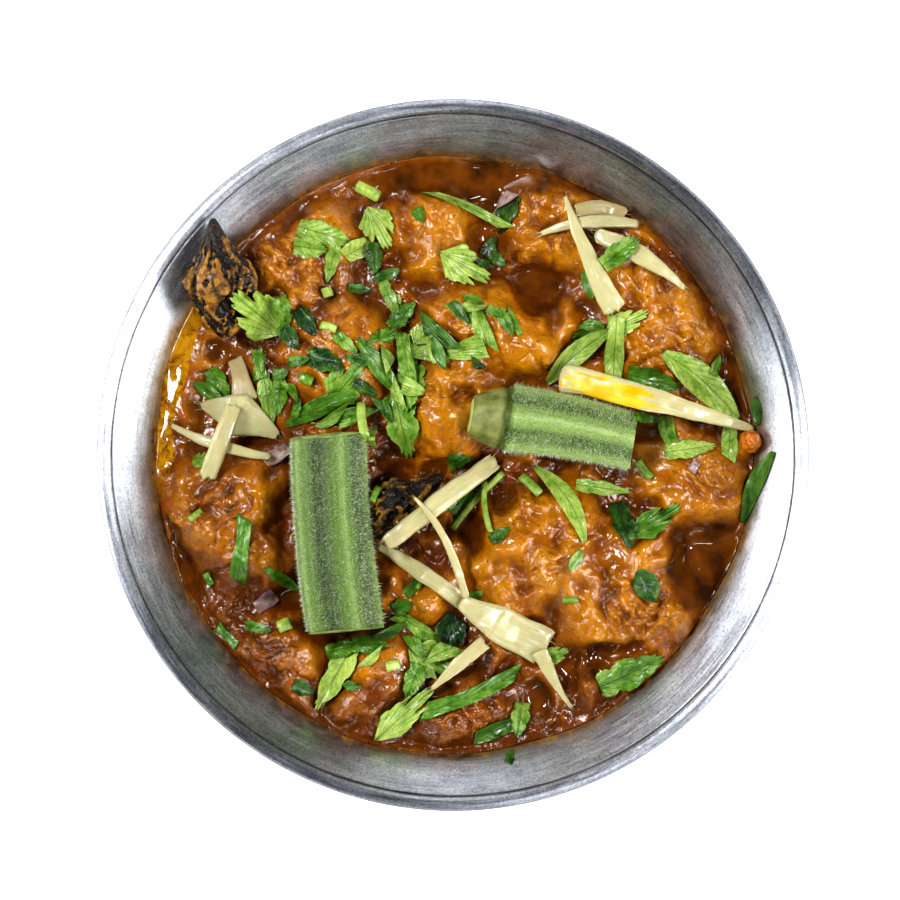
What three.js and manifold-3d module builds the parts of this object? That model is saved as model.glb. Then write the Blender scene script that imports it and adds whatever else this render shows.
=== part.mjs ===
// Okra and mutton curry in a round steel serving bowl. Millimetres, +Z up.
// The origin is the centre of the bowl's flat foot. The top view is laid out with +X right and +Y up.
import * as THREE from 'three';
import { mergeVertices } from 'three/addons/utils/BufferGeometryUtils.js';
import Module from 'manifold-3d';

const wasm = await Module();
wasm.setup();

// ---- Driving dimensions ----
const bowl = {
  rimRadius: 82.5, // outside of the rolled rim
  height: 60,
  sheet: 1.2, // thickness of the steel
  bead: 1.7, // radius of the rolled rim
  footRadius: 33,
  bulge: 2, // how far the wall bows out from a straight cone
  beadFrom: -55, // degrees, where the roll starts under the outside of the rim
  beadTo: 185, // degrees, where the roll meets the inside of the wall
  aroundSteps: 44,
  wallSteps: 5,
  beadSteps: 6,
};
const gap = 0.35; // air left between neighbouring solids
const gravy = {
  level: 45,
  wave: 0.9, // height of the ripples on top
  climb: 1.2, // how far the gravy creeps up the steel
  edgeShare: 0.78, // share of the wall's length at which the gravy's edge lies
  overlap: 2, // how far the uncut gravy reaches past that edge
  rings: 4,
  aroundSteps: 22,
};
const meat = {
  boxiness: 2.5, // 2 is an egg, more is a block
  lumpiness: 0.055, // relief, as a share of the radius
  cornerDraw: 0.12, // how far a corner is drawn out, as a share of the radius
  footTaper: 0.6, // width of the sunk foot, as a share of the piece
  domeRings: 4,
  aroundSteps: 12,
  bigAroundSteps: 15,
  sunkDepth: 9, // how far a piece reaches down into the gravy
  bigArea: 500, // length times width from which a piece gets a finer skin
};
const okraShape = {
  hollow: 0.85, // radius in the hollows between the ribs, as a share of the full radius
  ribSharpness: 2.4,
  capTip: 0.56, // radius of the trimmed cap at its tip, as a share of the pod's
  capFoot: 0.86, // and where it meets the pod
  capRound: 0.95,
  aroundSteps: 15,
};
const podShape = {
  from: 0.02, // the skin starts and ends just inside the tips
  to: 0.975,
  fullest: 0.72, // below 1 moves the fullest part towards the stalk
  roundness: 0.7,
  stalkWidth: 0.72, // width towards the stalk, as a share of that at the blunt end
  ribs: 3,
  ribHeight: 0.1,
  stations: 9,
  aroundSteps: 12,
};
const shredShape = {
  stations: 6,
  least: 0.8, // narrowest width
  reach: 0.45, // half width of the patch that a shred rests on, as a share of its width
  nearby: 0.08, // and half its length, as a share of the shred's
  tautRounds: 12,
};
const leafShape = {
  sheet: 0.5, // thickness
  ripple: 0.4,
  longLength: 14, // a longer leaf gets more rows
  wideWidth: 8.5, // a wider leaf gets more columns
  tautRounds: 8,
};
const touch = 1e-4; // cubic millimetres, less than this is no overlap
const weld = 1e-4; // corners closer than this are one
const liftStep = 0.25; // how far a topping is raised at a time until it is clear
const mostLifts = 60;
const joinStep = 0.2; // how far a leaf moves at a time to meet the next leaf of its sprig
const leastJoin = 0.15; // cubic millimetres that joined pieces share

const finish = {
  steel: { color: 0xb4b6b8, roughness: 0.32, metalness: 1.0 },
  gravy: { color: 0x7a3a0c, roughness: 0.2, metalness: 0.0 },
  meat: { color: 0xb0601a, roughness: 0.35, metalness: 0.0 },
  okra: { color: 0x6d8f42, roughness: 0.6, metalness: 0.0 },
  cardamom: { color: 0x2b1c14, roughness: 0.55, metalness: 0.0 },
  ginger: { color: 0xe9dfae, roughness: 0.45, metalness: 0.0 },
  leaf: { color: 0x5f9f35, roughness: 0.5, metalness: 0.0 },
};

// ---- Layout: centres, lengths and widths in the top view ----
// Pieces of mutton. A piece with corners is drawn out towards that many points, the first at its turn.
const meatPieces = [
  { x: -52.2, y: -16, length: 36, width: 33, turn: 184, top: 53, corners: 3 },
  { x: -39.4, y: -47.6, length: 25, width: 17, turn: -35, top: 51, corners: 0 },
  { x: -18.3, y: -49.9, length: 16, width: 16.5, turn: 0, top: 52, corners: 0 },
  { x: -21.8, y: -60.6, length: 20, width: 10.5, turn: -18, top: 49, corners: 0 },
  { x: 2.4, y: -60, length: 29, width: 14.5, turn: 2, top: 49.5, corners: 0 },
  { x: 21.6, y: -21.6, length: 39, width: 31, turn: 24, top: 54.5, corners: 0 },
  { x: 40.6, y: -32.6, length: 36, width: 30, turn: -12, top: 53, corners: 4 },
  { x: 56, y: -5.4, length: 26, width: 27, turn: 38, top: 52, corners: 4 },
  { x: 48.4, y: 32.4, length: 38, width: 27, turn: -40, top: 52, corners: 0 },
  { x: 23.2, y: 54, length: 23, width: 20, turn: 42, top: 52, corners: 4 },
  { x: 12.4, y: 30, length: 34, width: 20, turn: -13, top: 55, corners: 0 },
  { x: -1.4, y: 11.6, length: 25, width: 26, turn: 15, top: 54.5, corners: 0 },
  { x: -5.6, y: 52, length: 21, width: 23, turn: 10, top: 51.5, corners: 0 },
  { x: -36, y: 44.6, length: 29, width: 23, turn: 38, top: 51.5, corners: 3 },
  { x: -27.6, y: 22.6, length: 27, width: 30, turn: 20, top: 54, corners: 4 },
  { x: -9.6, y: -33.6, length: 24, width: 15, turn: -8, top: 51, corners: 0 },
  { x: 69.4, y: 3, length: 6.4, width: 5.2, turn: 70, top: 54, corners: 0 },
];

// Two cuts of raw okra. cap is the length of the trimmed cone at the stem end, at the start of the cut.
const okraCuts = {
  okra_long: {
    start: [-29.4, 4.5], end: [-25.4, -41], startRadius: 9.0, endRadius: 9.3, bow: -0.9,
    height: 54.8, rise: -0.6, cap: 0, spin: 0.42,
  },
  okra_short: {
    start: [4.1, 9.2], end: [42, 2.9], startRadius: 8.4, endRadius: 6.7, bow: 0.9,
    height: 55.8, rise: -1.2, cap: 8, spin: 0.2,
  },
};

// Two black cardamom pods, from the stalk tip to the blunt end.
const cardamomPods = {
  cardamom_rim: { tip: [-55.4, 54.4, 62.5], blunt: [-51.8, 28, 53], radius: 7.2 },
  cardamom_middle: { tip: [-2.2, -4.6, 50.5], blunt: [-21.5, -18.5, 48.5], radius: 6.2 },
};

// Ginger: the middle line in the top view, and the width at its start, middle and end.
// Shreds listed together are one piece.
const ginger = [
  [{ line: [[-51.6, 22.6], [-50, 18], [-49, 13]], widths: [4.6, 5.4, 5.2], thick: 1.4 }],
  [{ line: [[-59, 11.6], [-50, 8], [-41.4, 4]], widths: [2, 8.4, 2], thick: 1.4 }],
  [{ line: [[-66.4, 7], [-55.3, 2.3], [-42.6, -0.4]], widths: [1.1, 3, 1.5], thick: 1.5 }],
  [{ line: [[-51.3, 11.7], [-54.4, 3], [-57.6, -5.4]], widths: [3.6, 4.1, 3.9], thick: 2.4 }],
  [
    { line: [[28.6, 56.8], [34.6, 57.6], [40.6, 56.6]], widths: [3.2, 4.2, 2.8], thick: 1.7 },
    { line: [[20.6, 51.8], [32.6, 54.6], [43.6, 54.2]], widths: [1.2, 3.2, 2], thick: 1.7 },
  ],
  [{ line: [[33.4, 51.4], [43.8, 46.4], [54.2, 38.6]], widths: [3.6, 4.4, 1.1], thick: 2 }],
  [{ line: [[26.2, 60.4], [30.8, 47.4], [38, 33.8]], widths: [0.9, 3.6, 5.6], thick: 1.7 }],
  [{ line: [[25, 18.3], [46.2, 12.9], [70.6, 6]], widths: [6.6, 5.6, 1.8], thick: 2.6 }],
  [{ line: [[10.6, -1.2], [-3, -11], [-15.2, -20.6]], widths: [4.2, 4.6, 3.6], thick: 2.8 }],
  [
    { line: [[-17.6, -21.6], [-9, -26.4], [3, -35.4]], widths: [1.8, 3.6, 4], thick: 1.9 },
    { line: [[1.8, -34.4], [10.8, -39.6], [22, -45.8]], widths: [3.4, 8.2, 8.8], thick: 2 },
    { line: [[20.4, -46], [24, -53.4], [28, -59.6]], widths: [4, 2.2, 0.8], thick: 1.5 },
  ],
  [{ line: [[-9.1, -9.8], [-1.6, -20], [3, -33.4]], widths: [0.9, 1.9, 2], thick: 1.2 }],
  [{ line: [[7.6, -43.8], [1.4, -49], [-5, -55]], widths: [3.2, 3.4, 0.9], thick: 1.2 }],
];

// Coriander: centre, heading from the stalk end to the far end, length, width, outline and sideways bend.
// Leaves listed together lie across each other as one sprig.
const coriander = [
  [
    { x: -45.2, y: 32.6, heading: 140, length: 14, width: 12, outline: 'fan', bend: 0 },
    { x: -39.8, y: 33.5, heading: -80, length: 8, width: 4.6, outline: 'lobed', bend: 0 },
    { x: -38.6, y: 28, heading: -50, length: 6, width: 4, outline: 'lobed', bend: 0 },
  ],
  [
    { x: -43.8, y: 12.9, heading: -82, length: 13.6, width: 4.2, outline: 'lobed', bend: 0 },
    { x: -41, y: 13.8, heading: -96, length: 8, width: 4.4, outline: 'lobed', bend: 0 },
  ],
  [
    { x: -30, y: 51.5, heading: -18, length: 13, width: 6, outline: 'lobed', bend: 0 },
    { x: -22.4, y: 48.2, heading: 30, length: 7, width: 4.6, outline: 'strip', bend: 0 },
    { x: -28.4, y: 45, heading: -105, length: 8.5, width: 3.6, outline: 'lobed', bend: 0 },
    { x: -33.6, y: 48.4, heading: -8, length: 7.4, width: 5.6, outline: 'lobed', bend: 0 },
  ],
  [
    { x: -17.6, y: 53.7, heading: -62, length: 11.5, width: 8.5, outline: 'fan', bend: 0 },
    { x: -18.6, y: 46.4, heading: -85, length: 7, width: 4.4, outline: 'lobed', bend: 0 },
  ],
  [{ x: 2.6, y: 44.3, heading: -28, length: 13.5, width: 9.6, outline: 'fan', bend: 0 }],
  [
    { x: -12, y: 7.4, heading: -78, length: 14.5, width: 8.6, outline: 'lobed', bend: 0 },
    { x: -10.4, y: 16.2, heading: -100, length: 11, width: 8, outline: 'lobed', bend: 0 },
    { x: -10.8, y: 23, heading: -80, length: 12, width: 4.6, outline: 'lance', bend: 0 },
    { x: -6.6, y: 26.4, heading: 40, length: 10.5, width: 9, outline: 'fan', bend: 0 },
    { x: -17.4, y: 20.8, heading: -54, length: 16, width: 4.4, outline: 'lance', bend: 0 },
  ],
  [
    { x: -25.3, y: 16.4, heading: 50, length: 12, width: 9.5, outline: 'fan', bend: 0 },
    { x: -30, y: 22, heading: -20, length: 8.5, width: 6, outline: 'lobed', bend: 0 },
    { x: -31.2, y: 10.6, heading: 24, length: 18, width: 4.6, outline: 'lance', bend: 0.6 },
  ],
  [
    { x: 3, y: 32, heading: -50, length: 9, width: 4.4, outline: 'lobed', bend: 0 },
    { x: 6.8, y: 30.2, heading: -70, length: 8, width: 4.6, outline: 'lobed', bend: 0 },
    { x: 2.8, y: 24.4, heading: 12, length: 9.6, width: 5.8, outline: 'fan', bend: 0 },
  ],
  [
    { x: 12.6, y: 57, heading: -110, length: 9, width: 5, outline: 'lobed', bend: 0 },
    { x: 3.6, y: 57.6, heading: -25, length: 20, width: 2.2, outline: 'strip', bend: 0.8 },
  ],
  [
    { x: 32.1, y: 29, heading: 205, length: 8.5, width: 6, outline: 'fan', bend: 0 },
    { x: 40.4, y: 31, heading: 25, length: 11, width: 6, outline: 'fan', bend: 0 },
    { x: 29.4, y: 23, heading: 40, length: 19, width: 5.2, outline: 'lance', bend: 0.8 },
    { x: 38, y: 25.6, heading: -92, length: 14, width: 4.6, outline: 'strip', bend: 0 },
  ],
  [{ x: 46.9, y: 17.4, heading: -15, length: 12, width: 6, outline: 'lobed', bend: 0 }],
  [
    { x: 58.1, y: 16.2, heading: -41, length: 23.5, width: 7.6, outline: 'lance', bend: 1.2 },
    { x: 65, y: 4.6, heading: -95, length: 11, width: 3.8, outline: 'strip', bend: 0 },
  ],
  [
    { x: 51.2, y: 5.6, heading: -75, length: 8.6, width: 3.8, outline: 'strip', bend: -0.8 },
    { x: 55.2, y: 1.4, heading: 8, length: 11.5, width: 4.6, outline: 'lobed', bend: 0 },
  ],
  [{ x: 71.4, y: -7.6, heading: -112, length: 18, width: 3.8, outline: 'lance', bend: -0.8 }],
  [{ x: 25, y: -11.6, heading: -57, length: 21, width: 4.6, outline: 'lance', bend: 2.2 }],
  [{ x: 35.1, y: -7.8, heading: -8, length: 12.5, width: 3.8, outline: 'lobed', bend: 0 }],
  [
    { x: 47, y: -15.6, heading: 33, length: 14.5, width: 6.4, outline: 'fan', bend: 0 },
    { x: 40, y: -16.2, heading: -75, length: 10.5, width: 5.4, outline: 'lobed', bend: 0 },
  ],
  [{ x: -49.7, y: -22, heading: -97, length: 15, width: 4, outline: 'strip', bend: 0.5 }],
  [
    { x: -27.4, y: -51.6, heading: -120, length: 17, width: 6.2, outline: 'lobed', bend: 0 },
    { x: -25.6, y: -45.4, heading: 14, length: 9, width: 4, outline: 'lobed', bend: 0 },
    { x: -19.6, y: -44.4, heading: 0, length: 8, width: 4.4, outline: 'lobed', bend: 0 },
  ],
  [
    { x: -9, y: -41.4, heading: -38, length: 12, width: 3.8, outline: 'strip', bend: 1 },
    { x: -0.4, y: -42, heading: -84, length: 10.5, width: 8, outline: 'fan', bend: 0 },
    { x: -5.4, y: -48.4, heading: -32, length: 12.5, width: 9.6, outline: 'fan', bend: 0 },
    { x: -9.3, y: -53, heading: -110, length: 8.5, width: 5, outline: 'lobed', bend: 0 },
  ],
  [
    { x: -11.9, y: -61.4, heading: 42, length: 19, width: 7.4, outline: 'fan', bend: 0 },
    { x: 4.2, y: -55.8, heading: 22, length: 24, width: 3.8, outline: 'strip', bend: -0.6 },
  ],
  [{ x: 41.5, y: -51.3, heading: 25, length: 15.5, width: 8, outline: 'lobed', bend: 0 }],
  [
    { x: 10, y: -65, heading: 20, length: 10.5, width: 3.8, outline: 'strip', bend: 0 },
    { x: 15.8, y: -62.2, heading: -100, length: 7.5, width: 4.8, outline: 'lobed', bend: 0 },
  ],
  [
    { x: -55.3, y: 16.6, heading: -60, length: 8.5, width: 5, outline: 'lobed', bend: 0 },
    { x: -57.8, y: 15, heading: -30, length: 8, width: 3.4, outline: 'lance', bend: 0 },
  ],
];

// One leaf lies over the ginger.
const lastCoriander = [
  [{ x: 39.1, y: 47.4, heading: 38, length: 11, width: 5.4, outline: 'lobed', bend: 0 }],
];

// ---- Joining and cutting ----
function toSolid(geometry) {
  const bare = geometry.clone();
  bare.deleteAttribute('normal');
  bare.deleteAttribute('uv');
  const merged = mergeVertices(bare, weld);
  const mesh = new wasm.Mesh({
    numProp: 3,
    vertProperties: merged.attributes.position.array,
    triVerts: new Uint32Array(merged.index.array),
  });
  return new wasm.Manifold(mesh);
}

function toGeometry(solid) {
  const mesh = solid.getMesh();
  const geometry = new THREE.BufferGeometry();
  geometry.setAttribute('position', new THREE.BufferAttribute(mesh.vertProperties, 3));
  geometry.setIndex(new THREE.BufferAttribute(mesh.triVerts, 1));
  geometry.computeVertexNormals();
  return geometry;
}

// Of what a cut leaves, the one large body.
function mainBody(solid) {
  return solid.decompose().reduce((best, body) => (body.volume() > best.volume() ? body : best));
}

// A closed skin over rings of points along a piece. Each end is closed by a fan to its middle.
function skinOfRings(rings) {
  const around = rings[0].length;
  const points = rings.flat();
  const faces = [];
  for (let ring = 0; ring + 1 < rings.length; ring++) {
    for (let step = 0; step < around; step++) {
      const next = (step + 1) % around;
      const [a, b] = [ring * around + step, ring * around + next];
      const [c, d] = [a + around, b + around];
      faces.push(a, b, d, a, d, c);
    }
  }
  for (const end of [0, rings.length - 1]) {
    const middle = new THREE.Vector3();
    rings[end].forEach((point) => middle.addScaledVector(point, 1 / around));
    points.push(middle);
    for (let step = 0; step < around; step++) {
      const [a, b] = [end * around + step, end * around + ((step + 1) % around)];
      faces.push(...(end === 0 ? [b, a, points.length - 1] : [a, b, points.length - 1]));
    }
  }
  return pointsToGeometry(points, faces);
}

// A closed sheet over a grid of points, given as its under side and its upper side.
function skinOfSheet(under, upper) {
  const [rows, columns] = [under.length, under[0].length];
  const points = [...under.flat(), ...upper.flat()];
  const faces = [];
  const at = (row, column, side) => side * rows * columns + row * columns + column;
  for (let row = 0; row + 1 < rows; row++) {
    for (let column = 0; column + 1 < columns; column++) {
      for (const side of [0, 1]) {
        const [a, b] = [at(row, column, side), at(row + 1, column, side)];
        const [c, d] = [at(row + 1, column + 1, side), at(row, column + 1, side)];
        faces.push(...(side ? [a, b, c, a, c, d] : [a, c, b, a, d, c]));
      }
    }
  }
  const edge = [];
  for (let row = 0; row + 1 < rows; row++) edge.push([row, 0]);
  for (let column = 0; column + 1 < columns; column++) edge.push([rows - 1, column]);
  for (let row = rows - 1; row > 0; row--) edge.push([row, columns - 1]);
  for (let column = columns - 1; column > 0; column--) edge.push([0, column]);
  edge.forEach(([row, column], index) => {
    const [nextRow, nextColumn] = edge[(index + 1) % edge.length];
    const [a, b] = [at(row, column, 0), at(nextRow, nextColumn, 0)];
    const [c, d] = [at(row, column, 1), at(nextRow, nextColumn, 1)];
    faces.push(a, b, d, a, d, c);
  });
  return pointsToGeometry(points, faces);
}

function pointsToGeometry(points, faces) {
  const geometry = new THREE.BufferGeometry().setFromPoints(points);
  geometry.setIndex(faces);
  return geometry;
}

// ---- Small helpers ----
const degrees = THREE.MathUtils.degToRad;
const lerp = THREE.MathUtils.lerp;

// Repeatable random numbers from 0 to 1.
function randomFrom(seed) {
  let state = seed * 7919 + 17;
  return () => {
    state = (state * 16807) % 2147483647;
    return state / 2147483647;
  };
}

// Soft relief over directions: the sum of a few slanted waves.
function waveRelief(seed, waves, frequency) {
  const random = randomFrom(seed);
  const terms = Array.from({ length: waves }, () => ({
    slope: new THREE.Vector3(random() - 0.5, random() - 0.5, random() - 0.5).normalize(),
    phase: random() * Math.PI * 2,
    pitch: frequency * (0.7 + 0.6 * random()),
  }));
  return (direction) => terms.reduce(
    (sum, term) => sum + Math.sin(direction.dot(term.slope) * term.pitch + term.phase),
    0,
  );
}

// A point on the smooth line through three points, for share 0 to 1.
function alongThree([start, middle, end], share) {
  const near = 2 * (share - 0.5) * (share - 1);
  const centre = 4 * share * (1 - share);
  const far = 2 * share * (share - 0.5);
  return start.map((value, axis) => near * value + centre * middle[axis] + far * end[axis]);
}

function valueOfThree(values, share) {
  return alongThree(values.map((value) => [value]), share)[0];
}

// ---- Bowl ----
// The wall is an arc from the foot to the rim; inset moves it in from the outside.
function wallPoint(share, inset) {
  const [lowRadius, lowHeight] = [bowl.footRadius, 0];
  const highRadius = bowl.rimRadius - 2 * bowl.bead + bowl.sheet;
  const highHeight = bowl.height - bowl.bead;
  const [run, rise] = [highRadius - lowRadius, highHeight - lowHeight];
  const length = Math.hypot(run, rise);
  const bow = 4 * bowl.bulge * share * (1 - share);
  const slope = 4 * bowl.bulge * (1 - 2 * share);
  const along = new THREE.Vector2(run / length, rise / length);
  const across = new THREE.Vector2(rise / length, -run / length);
  const normal = across.clone().multiplyScalar(length).addScaledVector(along, -slope).normalize();
  return new THREE.Vector2(lowRadius, lowHeight)
    .addScaledVector(along, length * share)
    .addScaledVector(across, bow)
    .addScaledVector(normal, -inset);
}

function bowlGeometry() {
  const outer = Array.from(
    { length: bowl.wallSteps + 1 },
    (_, step) => wallPoint(step / bowl.wallSteps, 0),
  );
  const inner = Array.from(
    { length: bowl.wallSteps },
    (_, step) => wallPoint(1 - (step + 1) / bowl.wallSteps, bowl.sheet),
  );
  const beadCentre = new THREE.Vector2(bowl.rimRadius - bowl.bead, bowl.height - bowl.bead);
  const bead = Array.from({ length: bowl.beadSteps }, (_, step) => {
    const angle = degrees(lerp(bowl.beadFrom, bowl.beadTo, step / (bowl.beadSteps - 1)));
    return new THREE.Vector2(Math.cos(angle), Math.sin(angle)).multiplyScalar(bowl.bead).add(beadCentre);
  });
  inner[inner.length - 1].y = bowl.sheet;
  const profile = [
    new THREE.Vector2(0, 0),
    ...outer,
    ...bead,
    ...inner,
    new THREE.Vector2(0, bowl.sheet),
  ];
  return new THREE.LatheGeometry(profile, bowl.aroundSteps).rotateX(Math.PI / 2);
}

// ---- Gravy ----
const gravyRelief = waveRelief(5, 6, 0.16);

function gravyTop(x, y) {
  const edge = Math.hypot(x, y) / wallPoint(gravy.edgeShare, 0).x;
  const relief = (gravy.wave * gravyRelief(new THREE.Vector3(x, y, 0))) / 3;
  return gravy.level + relief * (1 - edge ** 4) + gravy.climb * edge ** 10;
}

// The gravy fills the bowl's room up to its rippled top.
function gravyBody(room) {
  const edgeRadius = wallPoint(gravy.edgeShare, 0).x + gravy.overlap;
  const topLine = Array.from({ length: gravy.rings + 1 }, (_, ring) => (
    new THREE.Vector2(edgeRadius * (1 - ring / gravy.rings), gravy.level)
  ));
  const profile = [new THREE.Vector2(0, 0), new THREE.Vector2(edgeRadius, 0), ...topLine];
  const geometry = new THREE.LatheGeometry(profile, gravy.aroundSteps).rotateX(Math.PI / 2);
  const places = geometry.attributes.position;
  for (let index = 0; index < places.count; index++) {
    const [x, y] = [places.getX(index), places.getY(index)];
    if (places.getZ(index) > 0) places.setZ(index, gravyTop(x, y));
  }
  return toSolid(geometry).intersect(room);
}

// The room inside the bowl, for trimming what lies against the wall.
function bowlRoom() {
  const inset = bowl.sheet + gap;
  const line = Array.from(
    { length: bowl.wallSteps + 1 },
    (_, step) => wallPoint(step / bowl.wallSteps, inset),
  );
  line[0].y = inset;
  const profile = [
    new THREE.Vector2(0, inset),
    ...line,
    new THREE.Vector2(line[bowl.wallSteps].x, 3 * bowl.height),
    new THREE.Vector2(0, 3 * bowl.height),
  ];
  return toSolid(new THREE.LatheGeometry(profile, bowl.aroundSteps).rotateX(Math.PI / 2));
}

// ---- Mutton ----
// A boxy dome with soft lumps over a plain tapering foot sunk in the gravy; grow makes it larger all round.
function meatSolid(piece, seed, grow) {
  const isBig = piece.length * piece.width > meat.bigArea;
  const around = isBig ? meat.bigAroundSteps : meat.aroundSteps;
  const relief = waveRelief(seed + 31, 5, 4.2);
  const [halfLength, halfWidth] = [piece.length / 2, piece.width / 2];
  const rise = Math.min(piece.top - gravy.level + 1, piece.width / 2);
  const middle = piece.top - rise;
  const turn = degrees(piece.turn);
  const ringAt = (slope, foot) => Array.from({ length: around }, (_, step) => {
    const angle = (step / around) * Math.PI * 2;
    const flat = Math.cos(slope);
    const direction = new THREE.Vector3(
      Math.cos(angle) * flat,
      Math.sin(angle) * flat,
      Math.sin(slope),
    );
    const reach = (
      Math.abs(direction.x / halfLength) ** meat.boxiness
      + Math.abs(direction.y / halfWidth) ** meat.boxiness
      + Math.abs(direction.z / rise) ** meat.boxiness
    ) ** (-1 / meat.boxiness);
    const corner = piece.corners ? Math.cos(piece.corners * angle) * flat : 0;
    const radius = reach * (1 + meat.lumpiness * relief(direction) + meat.cornerDraw * corner);
    const across = radius * flat * foot + grow;
    const height = foot < 1 ? -meat.sunkDepth - grow : (radius + grow) * Math.sin(slope);
    return new THREE.Vector3(
      piece.x + across * Math.cos(angle + turn),
      piece.y + across * Math.sin(angle + turn),
      middle + height,
    );
  });
  const dome = Array.from({ length: meat.domeRings }, (_, ring) => (
    ringAt((ring / meat.domeRings) * Math.PI * 0.5, 1)
  ));
  return toSolid(skinOfRings([ringAt(0, meat.footTaper), ...dome]));
}

// ---- Okra ----
// Five rounded ribs round the pod, with hollows between them.
function okraRadius(angle) {
  const rib = Math.abs(Math.cos(2.5 * angle)) ** okraShape.ribSharpness;
  return lerp(okraShape.hollow, 1, rib);
}

function okraSolid(cut, grow) {
  const [stations, around] = [cut.cap ? 8 : 7, okraShape.aroundSteps];
  const start = new THREE.Vector3(...cut.start, cut.height - cut.rise);
  const end = new THREE.Vector3(...cut.end, cut.height + cut.rise);
  const along = end.clone().sub(start).normalize();
  const side = new THREE.Vector3(-along.y, along.x, 0).normalize();
  const up = along.clone().cross(side);
  const length = start.distanceTo(end);
  const capShare = cut.cap / length;
  const shares = Array.from({ length: stations }, (_, station) => station / (stations - 1));
  const marks = cut.cap
    ? [0, capShare * 0.96, capShare, ...shares.slice(2).map((share) => lerp(capShare, 1, share))]
    : shares;
  const rings = marks.map((share, station) => {
    const inCap = share < capShare * 0.98;
    const narrowed = inCap ? lerp(okraShape.capTip, okraShape.capFoot, share / capShare) : 1;
    const radius = lerp(cut.startRadius, cut.endRadius, share) * narrowed;
    const isEnd = station === 0 || station === marks.length - 1;
    const stretch = isEnd ? Math.sign(share - 0.5) * grow : 0;
    const middle = start.clone()
      .addScaledVector(along, share * length + stretch)
      .addScaledVector(side, cut.bow * 4 * share * (1 - share));
    return Array.from({ length: around }, (_, step) => {
      const angle = (step / around) * Math.PI * 2;
      const reach = radius * (inCap ? okraShape.capRound : okraRadius(angle)) + grow;
      return middle.clone()
        .addScaledVector(side, reach * Math.cos(angle + cut.spin))
        .addScaledVector(up, reach * Math.sin(angle + cut.spin));
    });
  });
  return toSolid(skinOfRings(rings));
}

// ---- Black cardamom ----
// A pod with soft ribs, drawn out to a tip at the stalk.
function podSolid(pod, grow) {
  const { stations, aroundSteps: around } = podShape;
  const tip = new THREE.Vector3(...pod.tip);
  const blunt = new THREE.Vector3(...pod.blunt);
  const along = blunt.clone().sub(tip).normalize();
  const side = new THREE.Vector3(-along.y, along.x, 0).normalize();
  const up = along.clone().cross(side);
  const length = tip.distanceTo(blunt);
  const rings = Array.from({ length: stations }, (_, station) => {
    const share = lerp(podShape.from, podShape.to, station / (stations - 1));
    const round = Math.sin(Math.PI * share ** podShape.fullest) ** podShape.roundness;
    const swell = round * lerp(podShape.stalkWidth, 1, share);
    const middle = tip.clone().addScaledVector(along, share * length);
    return Array.from({ length: around }, (_, step) => {
      const angle = (step / around) * Math.PI * 2;
      const ribs = 1 + podShape.ribHeight * Math.cos(podShape.ribs * angle + 0.8);
      const reach = pod.radius * swell * ribs + grow;
      return middle.clone()
        .addScaledVector(side, reach * Math.cos(angle))
        .addScaledVector(up, reach * Math.sin(angle));
    });
  });
  return toSolid(skinOfRings(rings));
}

// ---- Setting toppings down on what is below them ----
const placed = new Map(); // node name to its solid
const landing = []; // meshes that toppings can rest on
const downwards = new THREE.Raycaster();

function place(name, solid) {
  placed.set(name, solid);
  landing.push(new THREE.Mesh(toGeometry(solid), new THREE.MeshBasicMaterial()));
}

function heightBelow(x, y) {
  downwards.set(new THREE.Vector3(x, y, 3 * bowl.height), new THREE.Vector3(0, 0, -1));
  const [hit] = downwards.intersectObjects(landing);
  return hit ? hit.point.z : gravy.level;
}

// The highest point under a small patch.
function heightUnder(x, y, reach) {
  const heights = [0, 1, 2, 3, 4, 5].map((step) => {
    const angle = (step * Math.PI) / 3;
    return heightBelow(x + reach * Math.cos(angle), y + reach * Math.sin(angle));
  });
  return Math.max(heightBelow(x, y), ...heights);
}

function boxesMeet(first, second) {
  const [one, two] = [first.boundingBox(), second.boundingBox()];
  return [0, 1, 2].every((axis) => (
    one.min[axis] < two.max[axis] + gap && two.min[axis] < one.max[axis] + gap
  ));
}

function isClear(solid) {
  return [...placed.values()].every((other) => (
    !boxesMeet(solid, other) || solid.intersect(other).volume() < touch
  ));
}

// Raises a closed skin in small steps until it touches nothing.
function settle(name, geometry) {
  for (let lift = 0; lift < mostLifts; lift++) {
    const solid = toSolid(geometry);
    if (isClear(solid)) {
      place(name, solid);
      return;
    }
    geometry.translate(0, 0, liftStep);
  }
  throw new Error(`${name} finds no clear place`);
}

// A grid of heights pulled taut from above: a point rises to its neighbours' mean, and none sinks.
function pullTaut(heights, rounds) {
  const [rows, columns] = [heights.length, heights[0].length];
  let taut = heights;
  for (let round = 0; round < rounds; round++) {
    taut = taut.map((line, row) => line.map((height, column) => {
      const means = [];
      const inRows = row > 0 && row + 1 < rows;
      const inColumns = column > 0 && column + 1 < columns;
      if (inRows) means.push((taut[row - 1][column] + taut[row + 1][column]) / 2);
      if (inColumns) means.push((line[column - 1] + line[column + 1]) / 2);
      return Math.max(height, ...means);
    }));
  }
  return taut;
}

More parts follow.
